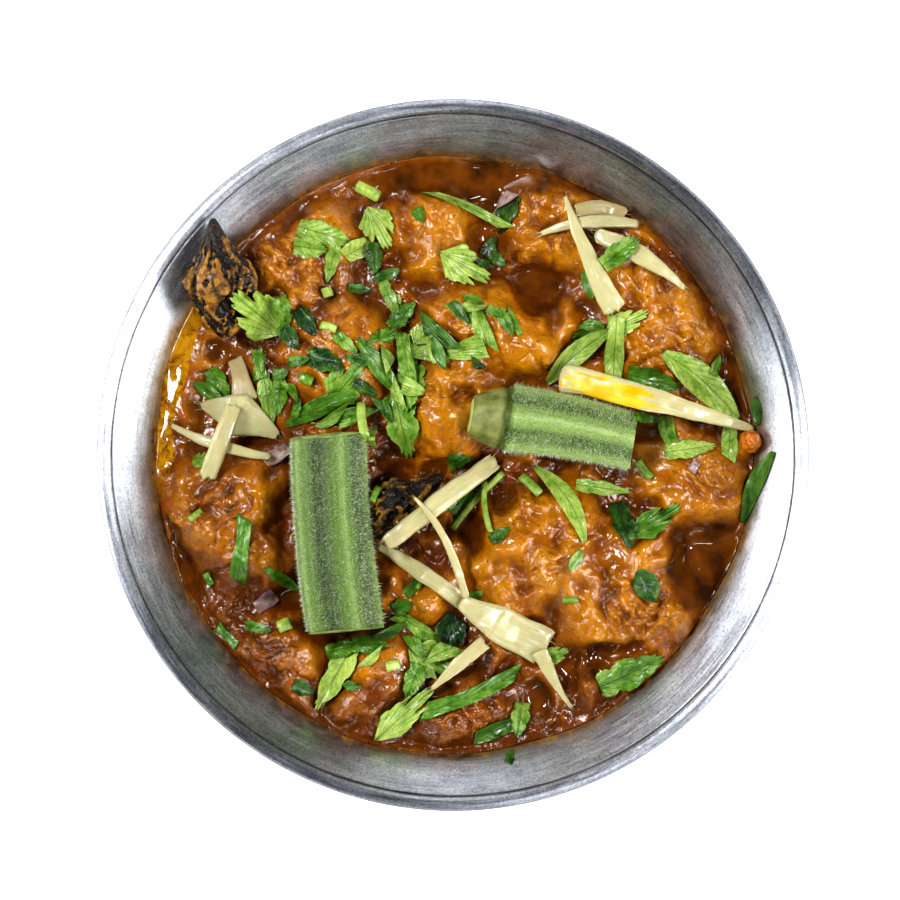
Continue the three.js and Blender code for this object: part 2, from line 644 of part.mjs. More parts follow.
// ---- Ginger ----
// A stiff shred spans the hollows between the highest points under it.
function gingerSkin(shred) {
  const { stations, nearby, reach } = shredShape;
  const shares = Array.from({ length: stations }, (_, station) => station / (stations - 1));
  const middles = shares.map((share) => alongThree(shred.line, share));
  const widths = shares.map((share) => Math.max(shredShape.least, valueOfThree(shred.widths, share)));
  const resting = shares.map((share, station) => {
    const heights = [share - nearby, share, share + nearby].map((near) => {
      const [x, y] = alongThree(shred.line, THREE.MathUtils.clamp(near, 0, 1));
      return heightUnder(x, y, widths[station] * reach);
    });
    return [Math.max(...heights)];
  });
  const heights = pullTaut(resting, shredShape.tautRounds).flat();
  const rings = middles.map(([x, y], station) => {
    const [nextX, nextY] = middles[Math.min(station + 1, stations - 1)];
    const [lastX, lastY] = middles[Math.max(station - 1, 0)];
    const side = new THREE.Vector3(-(nextY - lastY), nextX - lastX, 0).normalize();
    const half = widths[station] / 2;
    const thick = Math.min(shred.thick, widths[station]);
    const base = heights[station] + gap;
    const corner = (across, height) => (
      new THREE.Vector3(x, y, base + height * thick).addScaledVector(side, across * half)
    );
    const lower = [corner(-1, 0.2), corner(-0.8, 0), corner(0.8, 0), corner(1, 0.2)];
    return [...lower, corner(0.86, 0.9), corner(-0.86, 1)];
  });
  return skinOfRings(rings);
}

// Moves a skin up or down by the least step that brings it into the body, and joins it on.
function joinOn(body, skin) {
  for (let step = 0; step < mostLifts; step++) {
    const shift = Math.ceil(step / 2) * joinStep * (step % 2 ? 1 : -1);
    const part = toSolid(skin.clone().translate(0, 0, shift));
    if (part.intersect(body).volume() > leastJoin) return body.add(part);
  }
  throw new Error('a leaf or shred lies clear of its neighbour');
}

function joined([first, ...others]) {
  return toGeometry(mainBody(others.reduce(joinOn, toSolid(first))));
}

// ---- Coriander ----
// Half width of a leaf, as a share, at a share of its length.
const outlines = {
  fan: (share) => (
    0.3 + 0.7 * Math.sin(Math.min(1, share * 1.35) * Math.PI * 0.5) * (1 - 0.35 * share ** 6)
  ),
  lobed: (share) => (
    (0.62 + 0.38 * Math.abs(Math.sin(share * Math.PI * 2.6))) * (1 - 0.45 * share ** 4)
  ),
  lance: (share) => 0.12 + 0.88 * Math.sin(Math.PI * (0.06 + 0.88 * share)) ** 0.75,
  strip: (share) => 0.86 + 0.14 * Math.sin(share * 5),
};
const endTeeth = { fan: 0.14, lobed: 0.1, lance: 0.02, strip: 0.04 };

function leafSkin(leaf, seed) {
  const rows = leaf.length > leafShape.longLength ? 6 : 4;
  const columns = leaf.width > leafShape.wideWidth ? 4 : 3;
  const heading = degrees(leaf.heading);
  const forward = new THREE.Vector3(Math.cos(heading), Math.sin(heading), 0);
  const side = new THREE.Vector3(-forward.y, forward.x, 0);
  const pointAt = (row, column) => {
    const share = row / (rows - 1);
    const across = (2 * column) / (columns - 1) - 1;
    const tooth = 1 + endTeeth[leaf.outline] * Math.cos(across * 4.5 + seed);
    const alongLeaf = (share - 0.5) * leaf.length * tooth;
    const acrossLeaf = across * (leaf.width / 2) * outlines[leaf.outline](share)
      + leaf.bend * 4 * share * (1 - share);
    return new THREE.Vector3(leaf.x, leaf.y, 0)
      .addScaledVector(forward, alongLeaf)
      .addScaledVector(side, acrossLeaf);
  };
  const grid = Array.from({ length: rows }, (_, row) => (
    Array.from({ length: columns }, (__, column) => pointAt(row, column))
  ));
  const spacing = Math.max(leaf.length / rows, leaf.width / columns);
  const resting = grid.map((line) => line.map(({ x, y }) => heightUnder(x, y, spacing / 2)));
  const heights = pullTaut(resting, leafShape.tautRounds);
  const surface = (thickness) => grid.map((line, row) => line.map((point, column) => {
    const ripple = leafShape.ripple * (1 + Math.sin(0.7 * row + 1.2 * column + seed));
    return point.clone().setZ(heights[row][column] + gap + ripple + thickness);
  }));
  return skinOfSheet(surface(0), surface(leafShape.sheet));
}

// ---- Build ----
const numbered = (kind, index) => `${kind}_${String(index + 1).padStart(2, '0')}`;
const room = bowlRoom();
const okraDents = Object.values(okraCuts).map((cut) => okraSolid(cut, gap));
const podDents = Object.values(cardamomPods).map((pod) => podSolid(pod, gap));
const dents = [...okraDents, ...podDents];

place('bowl', toSolid(bowlGeometry()));

meatPieces.forEach((piece, index) => {
  const cutters = [
    ...meatPieces.slice(0, index).map((other, which) => meatSolid(other, which, gap)),
    ...dents,
  ];
  const whole = meatSolid(piece, index, 0).intersect(room);
  const cut = cutters.reduce(
    (body, cutter) => (boxesMeet(body, cutter) ? body.subtract(cutter) : body),
    whole,
  );
  place(numbered('mutton', index), mainBody(cut));
});

const meatHollows = meatPieces.map((piece, index) => meatSolid(piece, index, gap));
const gravyHollows = [...meatHollows, ...dents];
const gravyCut = gravyHollows.reduce((body, cutter) => body.subtract(cutter), gravyBody(room));
place('gravy', mainBody(gravyCut));

Object.entries(okraCuts).forEach(([name, cut]) => place(name, okraSolid(cut, 0)));
Object.entries(cardamomPods).forEach(([name, pod]) => {
  place(name, mainBody(podSolid(pod, 0).subtract(okraDents[0])));
});

const settleSprig = (sprig, index) => {
  settle(numbered('coriander', index), joined(sprig.map(leafSkin)));
};
const settleShreds = (shreds, index) => {
  settle(numbered('ginger', index), joined(shreds.map(gingerSkin)));
};

coriander.forEach(settleSprig);
ginger.forEach(settleShreds);
lastCoriander.forEach((sprig, index) => settleSprig(sprig, coriander.length + index));

const slotOf = (name) => {
  if (name === 'bowl') return finish.steel;
  if (name === 'gravy') return finish.gravy;
  if (name.startsWith('mutton')) return finish.meat;
  if (name.startsWith('okra')) return finish.okra;
  if (name.startsWith('cardamom')) return finish.cardamom;
  return name.startsWith('ginger') ? finish.ginger : finish.leaf;
};

const curry = new THREE.Group();
for (const [name, solid] of placed) {
  const mesh = new THREE.Mesh(toGeometry(solid), new THREE.MeshStandardMaterial(slotOf(name)));
  mesh.name = name;
  curry.add(mesh);
}

export default curry;
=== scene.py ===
import math
import bpy
import mathutils
import numpy as np
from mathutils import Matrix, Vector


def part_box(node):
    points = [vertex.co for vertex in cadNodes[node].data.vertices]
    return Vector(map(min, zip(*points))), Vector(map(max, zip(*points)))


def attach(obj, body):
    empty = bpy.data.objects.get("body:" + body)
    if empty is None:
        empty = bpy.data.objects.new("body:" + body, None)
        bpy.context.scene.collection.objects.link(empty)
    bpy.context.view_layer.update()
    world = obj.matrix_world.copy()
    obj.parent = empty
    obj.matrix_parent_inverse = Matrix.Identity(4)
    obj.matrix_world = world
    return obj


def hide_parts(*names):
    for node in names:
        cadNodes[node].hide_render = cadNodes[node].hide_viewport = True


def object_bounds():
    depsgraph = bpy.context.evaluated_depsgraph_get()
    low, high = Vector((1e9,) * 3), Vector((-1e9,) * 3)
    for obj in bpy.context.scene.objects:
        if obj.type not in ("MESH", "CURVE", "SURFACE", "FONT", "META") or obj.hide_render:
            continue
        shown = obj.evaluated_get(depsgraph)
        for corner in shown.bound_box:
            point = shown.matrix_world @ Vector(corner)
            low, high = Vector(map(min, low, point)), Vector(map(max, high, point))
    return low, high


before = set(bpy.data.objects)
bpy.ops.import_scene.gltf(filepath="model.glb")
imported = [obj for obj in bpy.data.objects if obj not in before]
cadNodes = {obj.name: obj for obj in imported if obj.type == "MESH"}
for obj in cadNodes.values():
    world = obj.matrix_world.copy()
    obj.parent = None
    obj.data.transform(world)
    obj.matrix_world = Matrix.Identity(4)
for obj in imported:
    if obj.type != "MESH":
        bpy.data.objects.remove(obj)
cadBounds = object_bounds()
print("frame loaded,", len(cadNodes), "nodes")

mm = 0.001  # lengths below are in millimetres and go into the meshes times this


# Numbers.
# A bell from 0 to 1 round the circle, 1 at the given direction.
def towards(theta, direction, width):
    return np.exp(-((np.angle(np.exp(1j * (theta - direction))) / width) ** 2))


# A smooth step from 0 to 1 as the value goes from low to high.
def ease(value, low, high):
    share = np.clip((value - low) / (high - low), 0, 1)
    return share * share * (3 - 2 * share)


# Soft random relief from -1 to 1: random values on a turned lattice, joined by smooth steps.
def softNoise(x, y, size, seed):
    table = np.random.default_rng(seed).uniform(-1, 1, (64, 64))
    turn = 0.6 + 1.7 * seed
    across = (x * math.cos(turn) - y * math.sin(turn)) / size + 31.7
    along = (x * math.sin(turn) + y * math.cos(turn)) / size + 17.3
    column, row = np.floor(across).astype(int), np.floor(along).astype(int)
    a, b = ease(across - column, 0, 1), ease(along - row, 0, 1)
    near = table[column % 64, row % 64] * (1 - a) + table[(column + 1) % 64, row % 64] * a
    far = table[column % 64, (row + 1) % 64] * (1 - a) + table[(column + 1) % 64, (row + 1) % 64] * a
    return near * (1 - b) + far * b


# Relief in long strokes: three noises stretched along three directions, each strong in its own region.
def strokes(x, y, size, seed):
    total, weight = 0.0, 0.0
    for number, turn in enumerate((0.55, 1.7, 2.75)):
        share = ease(softNoise(x, y, 15.0, 300 + number), -0.25, 0.45) + 0.06
        along = x * math.cos(turn) + y * math.sin(turn)
        across = y * math.cos(turn) - x * math.sin(turn)
        total = total + share * softNoise(along / 2.1, across, size, seed + 11 * number)
        weight = weight + share
    return total / weight


# Value at a share from 0 to 1 of the smooth line through three values.
def throughThree(values, share):
    first, middle, last = (np.asarray(value, float) for value in values)
    share = np.asarray(share, float)[..., None] if first.ndim else np.asarray(share, float)
    return (2 * (share - 0.5) * (share - 1) * first + 4 * share * (1 - share) * middle
            + 2 * share * (share - 0.5) * last)


# Mesh arrays.
# A part is a dictionary: points, faces (arrays of corners) and data (one value a point).
# Rings of points, row by row, each row wrapped round, with a fan to a point at both ends.
def closedRings(grid, start, end, **data):
    rows, columns = grid.shape[:2]
    row, column = np.meshgrid(np.arange(rows - 1), np.arange(columns), indexing="ij")
    a = row * columns + column
    b = row * columns + (column + 1) % columns
    quads = np.stack([a, b, b + columns, a + columns], -1).reshape(-1, 4)
    around = np.arange(columns)
    onward = np.roll(around, -1)
    first, last = np.full(columns, rows * columns), np.full(columns, rows * columns + 1)
    foot = (rows - 1) * columns
    fans = np.concatenate([np.stack([onward, around, first], -1),
                           np.stack([around + foot, onward + foot, last], -1)])
    points = np.concatenate([grid.reshape(-1, 3), [start], [end]])
    whole = {name: np.broadcast_to(value, (rows, columns)) for name, value in data.items()}
    values = {name: np.concatenate([value.ravel(), [np.mean(value[0])], [np.mean(value[-1])]])
              for name, value in whole.items()}
    return turnedOut({"points": points, "faces": [quads, fans], "data": values})


# A sheet given as its upper and lower grids of points, closed all round its edge.
def closedSheet(upper, lower, **data):
    rows, columns = upper.shape[:2]
    row, column = np.meshgrid(np.arange(rows - 1), np.arange(columns - 1), indexing="ij")
    a = (row * columns + column).ravel()
    top = np.stack([a, a + 1, a + columns + 1, a + columns], -1)
    under = top[:, ::-1] + rows * columns
    index = np.arange(rows * columns).reshape(rows, columns)
    edge = np.concatenate([index[0, :-1], index[:-1, -1], index[-1, :0:-1], index[:0:-1, 0]])
    onward = np.roll(edge, -1)
    rim = np.stack([onward, edge, edge + rows * columns, onward + rows * columns], -1)
    points = np.concatenate([upper.reshape(-1, 3), lower.reshape(-1, 3)])
    values = {name: np.tile(np.broadcast_to(value, (rows, columns)).ravel(), 2)
              for name, value in data.items()}
    values["under"] = np.repeat([0.0, 1.0], rows * columns)
    return turnedOut({"points": points, "faces": [top, under, rim], "data": values})


# Many thin spikes: a triangle at each root, drawn out to its tip. All corners come out of whole arrays.
def spikes(roots, tips, radius, **data):
    count = len(roots)
    along = tips - roots
    side = np.cross(along, [0.31, 0.17, 0.94])
    side /= np.linalg.norm(side, axis=1, keepdims=True) + 1e-9
    up = np.cross(along, side)
    up /= np.linalg.norm(up, axis=1, keepdims=True) + 1e-9
    radius = np.broadcast_to(radius, (count,))[:, None]
    corners = [roots + radius * (math.cos(a) * side + math.sin(a) * up) for a in (0, 2.094, 4.189)]
    points = np.stack([*corners, tips], 1).reshape(-1, 3)
    base = 4 * np.arange(count)[:, None]
    faces = (base[:, None] + np.array([[0, 2, 1], [0, 1, 3], [1, 2, 3], [2, 0, 3]])[None]).reshape(-1, 3)
    values = {name: np.repeat(np.broadcast_to(value, (count,)), 4) for name, value in data.items()}
    return turnedOut({"points": points, "faces": [faces], "data": values})


# Turns every face the other way if the body's signed volume is negative, so that faces point outwards.
def turnedOut(part):
    points = part["points"]
    volume = 0.0
    for faces in part["faces"]:
        for corner in range(1, faces.shape[1] - 1):
            a, b, c = points[faces[:, 0]], points[faces[:, corner]], points[faces[:, corner + 1]]
            volume += np.einsum("ij,ij->", a, np.cross(b, c))
    if volume < 0:
        part["faces"] = [faces[:, ::-1] for faces in part["faces"]]
    return part


# Joins parts into one mesh object that rides on the bowl's body.
def makePiece(name, parts, material, replaced=()):
    starts = np.cumsum([0] + [len(part["points"]) for part in parts[:-1]])
    points = np.concatenate([part["points"] for part in parts])
    points = np.clip(points, np.array(cadBounds[0]) / mm, np.array(cadBounds[1]) / mm)
    faces = [row for part, start in zip(parts, starts) for group in part["faces"]
             for row in (group + start).tolist()]
    mesh = bpy.data.meshes.new(name)
    mesh.from_pydata((points * mm).tolist(), [], faces)
    for key in sorted({key for part in parts for key in part["data"]}):
        values = np.concatenate([part["data"].get(key, np.zeros(len(part["points"]))) for part in parts])
        mesh.attributes.new(key, "FLOAT", "POINT").data.foreach_set("value", values.astype(np.float32))
    mesh.shade_smooth()
    mesh.materials.append(material)
    piece = bpy.data.objects.new(name, mesh)
    bpy.context.scene.collection.objects.link(piece)
    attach(piece, "root")
    if replaced:
        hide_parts(*replaced)
    return piece


# Material helpers.
# Linear colour from the 0 to 255 numbers of a colour picker, a little darker because the studio is bright.
def ink(red, green, blue):
    channels = np.array([red, green, blue]) / 255
    linear = np.where(channels < 0.04045, channels / 12.92, ((channels + 0.055) / 1.055) ** 2.4)
    return (*(0.84 * linear).tolist(), 1.0)


# One material: its node tree, with short ways to make and join nodes. A value is a number, a colour or
# a socket.
class Finish:
    def __init__(self, name, **settings):
        self.material = bpy.data.materials.new(name)
        self.material.use_nodes = True
        self.tree = self.material.node_tree
        self.shader = self.tree.nodes["Principled BSDF"]
        for socket, value in settings.items():
            self.shader.inputs[socket].default_value = value
        self.place = self.node("ShaderNodeTexCoord").outputs["Object"]

    def node(self, kind, inputs=None, **settings):
        made = self.tree.nodes.new(kind)
        for key, value in settings.items():
            setattr(made, key, value)
        for key, value in (inputs or {}).items():
            self.feed(made.inputs[key], value)
        return made

    def feed(self, socket, value):
        if isinstance(value, bpy.types.NodeSocket):
            self.tree.links.new(value, socket)
        else:
            socket.default_value = value

    # Noise of a size in millimetres, from about 0 to 1.
    def noise(self, size, detail=3.0, rough=0.55, warp=0.0):
        inputs = {"Scale": 1 / (size * mm), "Detail": detail, "Roughness": rough, "Distortion": warp,
                  "Vector": self.place}
        return self.node("ShaderNodeTexNoise", inputs).outputs["Fac"]

    # Noise over three values of the surface itself, such as a place along and round it.
    def streaks(self, x, y, z, scale, detail, rough):
        spot = self.node("ShaderNodeCombineXYZ", {"X": x, "Y": y, "Z": z})
        inputs = {"Vector": spot.outputs[0], "Scale": scale, "Detail": detail, "Roughness": rough}
        return self.node("ShaderNodeTexNoise", inputs).outputs["Fac"]

    # Runs a value through a straight ramp from one range to another, held at its ends.
    def ramp(self, value, fromLow, fromHigh, toLow=0.0, toHigh=1.0):
        inputs = {"Value": value, "From Min": fromLow, "From Max": fromHigh,
                  "To Min": toLow, "To Max": toHigh}
        return self.node("ShaderNodeMapRange", inputs).outputs["Result"]

    # Lays a colour over the base as a value runs from one bound to the other, at most by the given share.
    def tint(self, base, colour, value, low, high, most=1.0):
        return self.mix(self.ramp(value, low, high, 0.0, most), base, colour)

    # Sum, product and larger of two values, and any other sum by its name.
    def plus(self, first, second):
        return self.math("ADD", first, second)

    def times(self, first, second):
        return self.math("MULTIPLY", first, second)

    def larger(self, first, second):
        return self.math("MAXIMUM", first, second)

    def math(self, operation, first, second=0.0):
        made = self.node("ShaderNodeMath", operation=operation)
        self.feed(made.inputs[0], first)
        self.feed(made.inputs[1], second)
        return made.outputs[0]

    # The first colour at factor 0 and the second at factor 1.
    def mix(self, factor, first, second):
        made = self.node("ShaderNodeMix", data_type="RGBA")
        self.feed(made.inputs["Factor"], factor)
        self.feed(made.inputs["A"], first)
        self.feed(made.inputs["B"], second)
        return made.outputs["Result"]

    # A value stored at the points of the mesh.
    def value(self, name):
        return self.node("ShaderNodeAttribute", attribute_name=name).outputs["Fac"]

    # Bump from a height of 0 to 1 over a distance in millimetres, laid on the normal given.
    def bump(self, height, distance, strength=1.0, normal=None):
        inputs = {"Height": height, "Distance": distance * mm, "Strength": strength}
        if normal is not None:
            inputs["Normal"] = normal
        return self.node("ShaderNodeBump", inputs).outputs["Normal"]

    def use(self, socket, value):
        self.feed(self.shader.inputs[socket], value)


# Height map of the contents.
chart = {"cell": 0.4, "reach": 76.0}
cells = int(round(2 * chart["reach"] / chart["cell"])) + 1
ticks = np.linspace(-chart["reach"], chart["reach"], cells)
mapX, mapY = np.meshgrid(ticks, ticks, indexing="ij")
mapR = np.hypot(mapX, mapY)


# Place in the map, counted in cells from its corner and held inside it.
def inCells(place, last):
    return np.clip((place + chart["reach"]) / chart["cell"], 0, last)


# Height of the map at any places, from the four cells round each.
def lookUp(field, x, y):
    column, row = inCells(x, cells - 1.001), inCells(y, cells - 1.001)
    i, j = column.astype(int), row.astype(int)
    a, b = column - i, row - j
    return ((field[i, j] * (1 - a) + field[i + 1, j] * a) * (1 - b)
            + (field[i, j + 1] * (1 - a) + field[i + 1, j + 1] * a) * b)


# Blurs the map with a bell curve of the given radius, by way of its frequencies.
def soften(field, radius):
    bell = np.exp(-2 * (math.pi * radius * np.fft.fftfreq(cells, chart["cell"])) ** 2)
    return np.fft.ifft2(np.fft.fft2(field) * bell[:, None] * bell[None, :]).real


# Keeps, in each cell that a point falls in or beside, the highest point.
def raiseMap(field, points):
    column, row = (inCells(points[..., axis].ravel(), cells - 2).astype(int) for axis in (0, 1))
    for i in (0, 1):
        for j in (0, 1):
            np.maximum.at(field, (column + i, row + j), points[..., 2].ravel())


# Highest CAD surface over each cell: each face is sampled at evenly spaced points inside it.
def topOf(names):
    field = np.full((cells, cells), -100.0)
    for name in names:
        mesh = cadNodes[name].data
        mesh.calc_loop_triangles()
        points = np.empty(3 * len(mesh.vertices), np.float32)
        mesh.vertices.foreach_get("co", points)
        corners = np.empty(3 * len(mesh.loop_triangles), np.int32)
        mesh.loop_triangles.foreach_get("vertices", corners)
        faces = points.reshape(-1, 3)[corners].reshape(-1, 3, 3) / mm
        facing = np.cross(faces[:, 1] - faces[:, 0], faces[:, 2] - faces[:, 0])[:, 2] > 1e-4
        faces = faces[facing]
        longest = np.linalg.norm((faces - np.roll(faces, 1, axis=1))[..., :2], axis=2).max(1)
        steps = 2 ** np.ceil(np.log2(np.maximum(longest / (0.7 * chart["cell"]), 2))).astype(int)
        for count in np.unique(steps):
            i, j = np.meshgrid(np.arange(count + 1), np.arange(count + 1), indexing="ij")
            inside = i + j <= count
            weights = np.stack([i[inside], j[inside], (count - i - j)[inside]], -1) / count
            samples = np.einsum("mk,fkc->fmc", weights, faces[steps == count]).reshape(-1, 3)
            column, row = (np.rint(inCells(samples[:, axis], cells - 1)).astype(int) for axis in (0, 1))
            np.maximum.at(field, (column, row), samples[:, 2])
    return field


# Bowl.
bowlLow, bowlHigh = (np.array(corner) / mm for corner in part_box("bowl"))
bowl = {
    "rimRadius": float(bowlHigh[0]),
    "height": float(bowlHigh[2]),
    "sheet": 1.2,
    "bead": 1.7,
    "footRadius": 33.0,
    "bulge": 2.0,
    "footRounding": 2.2,
    "fillet": 0.35,  # rise of the rounding at the foot, as a share of its width
    "flare": 0.17,  # slope, mm a mm, of a bump that turns the satin wall's shading outwards near the rim; the wall's shape is unchanged
    "flareHeights": (48.0, 53.0),
    "rollTurn": (-60, 188),  # where the rolled rim starts and ends, degrees
    "rollPaintedShade": (22, 44, 150, 172),  # painted shade on the roll before the first pair of degrees and after the second
    # share of painted shade laid over the whole outer wall
    "outerPaintedShade": 0.3,
    "around": 300,
    "floorSteps": 6,
    "wallSteps": 60,
    "beadSteps": 22,
}


# Wall of the bowl at shares of its length: a straight line from foot to rim, bowed out by a parabola, then
# moved in by the inset along its own normal.
def wallLine(share, inset):
    high = np.array([bowl["rimRadius"] - 2 * bowl["bead"] + bowl["sheet"], bowl["height"] - bowl["bead"]])
    low = np.array([bowl["footRadius"], 0.0])
    length = np.linalg.norm(high - low)
    along = (high - low) / length
    across = np.array([along[1], -along[0]])
    bow = 4 * bowl["bulge"] * share * (1 - share)
    slope = 4 * bowl["bulge"] * (1 - 2 * share)
    normal = across[None] * length - along[None] * slope[:, None]
    normal /= np.linalg.norm(normal, axis=1, keepdims=True)
    return low + along * (length * share)[:, None] + across * bow[:, None] - normal * inset


innerWall = wallLine(np.linspace(0, 1, 400), bowl["sheet"])


# Radius of the steel's inner face at a height.
def innerRadius(height):
    return np.interp(height, innerWall[:, 1], innerWall[:, 0])


# The bowl: a closed profile of foot, outer wall, rolled rim, inner wall and floor, turned round the upright
# axis.
def bowlPart():
    shares = np.linspace(0, 1, bowl["wallSteps"])
    outer, inner = wallLine(shares, 0.0), wallLine(shares[::-1], bowl["sheet"])
    angle = np.radians(np.linspace(*bowl["rollTurn"], bowl["beadSteps"]))
    roll = np.stack([bowl["rimRadius"] - bowl["bead"] + bowl["bead"] * np.cos(angle),
                     bowl["height"] - bowl["bead"] + bowl["bead"] * np.sin(angle)], -1)
    rounding, rise = bowl["footRounding"], bowl["fillet"] * bowl["footRounding"]
    outer[:, 1] = np.maximum(outer[:, 1], 0) + rise * np.exp(-((outer[:, 1] / rounding) ** 2)) * (shares > 0)
    floorIn = bowl["sheet"] + rise * np.exp(-(((inner[:, 1] - bowl["sheet"]) / rounding) ** 2))
    inner[:, 1] = np.maximum(inner[:, 1], floorIn)
    flat, rollStart = bowl["floorSteps"], bowl["floorSteps"] + bowl["wallSteps"]
    innerStart = rollStart + bowl["beadSteps"]
    flatOut = np.stack([np.linspace(4, bowl["footRadius"] - 1.0, flat), np.zeros(flat)], -1)
    flatIn = np.stack([np.linspace(inner[-1, 0] - 1.5, 4, flat), np.full(flat, bowl["sheet"])], -1)
    profile = np.concatenate([flatOut, outer, roll, inner, flatIn])
    theta = np.linspace(0, 2 * math.pi, bowl["around"], endpoint=False)
    radius, height = profile[:, :1], profile[:, 1:]
    grid = np.stack([radius * np.cos(theta), radius * np.sin(theta), height + 0 * theta], -1)
    line = np.concatenate([[0], np.cumsum(np.linalg.norm(np.diff(profile, axis=0), axis=1))])
    station = np.arange(len(profile))
    above = height - (curryEdge(theta) + 0.3)
    # The film value marks real sauce smears and, over the same band, a painted reflection of the curry on the
    # steel.
    film = (station >= innerStart)[:, None] * (above < 8) * np.exp(-np.maximum(above, 0) / filmAndReflectionReach(theta))
    beadAngle = np.zeros(len(profile))
    beadAngle[rollStart:innerStart] = np.degrees(angle)
    # Painted shade: dark bands at both ends of the roll, a dark line where it meets the inner wall, and a
    # duller outer wall.
    dark = bowl["rollPaintedShade"]
    dim = (beadAngle != 0) * (1 - ease(beadAngle, *dark[:2]) + ease(beadAngle, *dark[2:]))
    seam = np.abs(line - line[innerStart])
    dim = np.clip(dim + np.exp(-((seam / 0.5) ** 2)) + bowl["outerPaintedShade"] * (station < rollStart), 0, 1)
    leaning = bowl["flare"] * ease(profile[:, 1], *bowl["flareHeights"])
    flare = np.cumsum(np.gradient(line) * (station >= innerStart) * leaning)
    return closedRings(grid, [0, 0, 0], [0, 0, bowl["sheet"]], film=film, line=line[:, None],
                       flare=flare[:, None], dim=dim[:, None])


# Reach of the sauce film and its painted reflection of the curry up the steel: longer at the left, the back
# and the right, short in front.
def filmAndReflectionReach(theta):
    left, back, right = towards(theta, 3.1, 0.5), towards(theta, 1.25, 0.7), towards(theta, 0.2, 0.35)
    return 2.2 + 1.2 * left + 0.7 * back + 1.2 * right


# Height of the curry's edge on the steel, with slow waves.
def curryEdge(theta):
    waves = 0.35 * np.sin(3 * theta + 1.0) + 0.3 * np.sin(7 * theta + 2.2) + 0.22 * np.sin(16 * theta + 0.4)
    return 46.0 + waves


# Steel: grain and bands drawn out round the bowl, specks, scratches, painted shade, and the film of sauce
# where film is set, whose brown tint on the bare steel is a painted reflection of the curry.
def steelFinish():
    steel = Finish("brushedSteel", **{"Metallic": 1.0, "Roughness": 0.36, "Anisotropic": 0.75,
                                      "Anisotropic Rotation": 0.25})
    line = steel.value("line")
    spot = steel.node("ShaderNodeSeparateXYZ", {"Vector": steel.place})
    turn = steel.math("ARCTAN2", spot.outputs["Y"], spot.outputs["X"])
    ringX = steel.times(steel.math("COSINE", turn), 2.2)
    ringY = steel.times(steel.math("SINE", turn), 2.2)
    grain = steel.streaks(ringX, ringY, steel.times(line, 0.62), 4.0, 4.0, 0.7)
    bands = steel.streaks(ringX, ringY, steel.times(line, 0.14), 3.0, 3.0, 0.5)
    speck = steel.noise(0.6, detail=4.0, rough=0.75)
    mottle = steel.noise(6.0, detail=5.0, rough=0.65)
    scratch = steel.noise(1000 / 130.0, detail=1.0, rough=0.5, warp=2.6)
    fine = steel.math("COMPARE", scratch, 0.5)
    fine.node.inputs[2].default_value = 0.0035
    fine = steel.times(fine, steel.ramp(steel.noise(11.0, detail=1.0), 0.52, 0.6))
    base = steel.tint((0.43, 0.465, 0.56, 1), (0.65, 0.68, 0.76, 1), mottle, 0.35, 0.65)
    base = steel.tint(base, (0.16, 0.175, 0.2, 1), speck, 0.5, 0.66, 0.75)
    base = steel.tint(base, (0.86, 0.87, 0.89, 1), speck, 0.44, 0.32, 0.6)
    base = steel.tint(base, (0.92, 0.93, 0.95, 1), grain, 0.53, 0.7, 0.6)
    base = steel.tint(base, (0.2, 0.225, 0.26, 1), grain, 0.47, 0.32, 0.5)
    glint = steel.ramp(steel.noise(0.42, detail=2.0, rough=0.7), 0.64, 0.7)
    base = steel.mix(glint, base, (1.0, 1.0, 1.0, 1))
    base = steel.mix(steel.times(fine, 0.7), base, (0.95, 0.95, 0.95, 1))
    # painted shade: the base goes near black where the painted shade value is set
    base = steel.mix(steel.times(steel.value("dim"), 0.86), base, (0.02, 0.022, 0.026, 1))
    film = steel.value("film")
    # painted reflection: the bare metal turns brown over the film, standing in for the curry mirrored in it;
    # the wet patches below are real sauce
    base = steel.tint(base, (0.25, 0.17, 0.08, 1), film, 0.05, 0.8, 0.93)
    patchy = steel.times(film, steel.ramp(steel.noise(3.4, detail=3.0), 0.25, 0.7))
    wet = steel.ramp(patchy, 0.22, 0.75, 0.0, 0.85)
    sauce = steel.tint(ink(176, 128, 22), ink(112, 64, 4), steel.noise(2.2), 0.38, 0.6)
    sauce = steel.tint(sauce, ink(30, 22, 8), steel.noise(1.3), 0.58, 0.68, 0.9)
    steel.use("Base Color", steel.mix(wet, base, sauce))
    steel.use("Metallic", steel.ramp(wet, 0.0, 1.0, 1.0, 0.1))
    rough = steel.ramp(grain, 0.3, 0.7, 0.32, 0.46)
    rough = steel.plus(rough, steel.ramp(bands, 0.3, 0.7, -0.05, 0.07))
    steel.use("Roughness", steel.math("SUBTRACT", rough, steel.times(wet, 0.16)))
    tangent = steel.node("ShaderNodeTangent", direction_type="RADIAL", axis="Z")
    steel.use("Tangent", tangent.outputs[0])
    flared = steel.bump(steel.value("flare"), 1.0)
    lined = steel.bump(grain, 0.06, 0.5, flared)
    dented = steel.bump(steel.noise(5.5, detail=2.0), 0.16, 0.5, lined)
    steel.use("Normal", steel.bump(speck, 0.05, 0.6, dented))
    return steel.material


makePiece("servingBowl", [bowlPart()], steelFinish(), ["bowl"])
print("bowl made")


# Curry: heights.
curry = {
    "round": 0.8,  # blur of the heap, mm
    "spread": 1.9,  # how far the thick sauce fills the gaps between the pieces
    "stiff": 2.0,  # higher keeps the gaps deeper
    "swells": [(8.5, 1.6), (4.6, 2.1), (2.7, 1.35), (1.7, 0.5)],  # size and height of the smooth strokes
    "wrinkles": [(3.2, 0.8), (1.8, 0.75), (1.1, 0.25)],  # the same of the crinkled lumps
    "creases": (5.4, 1.3),  # spacing and depth of the folds
    "climb": 0.4,
}
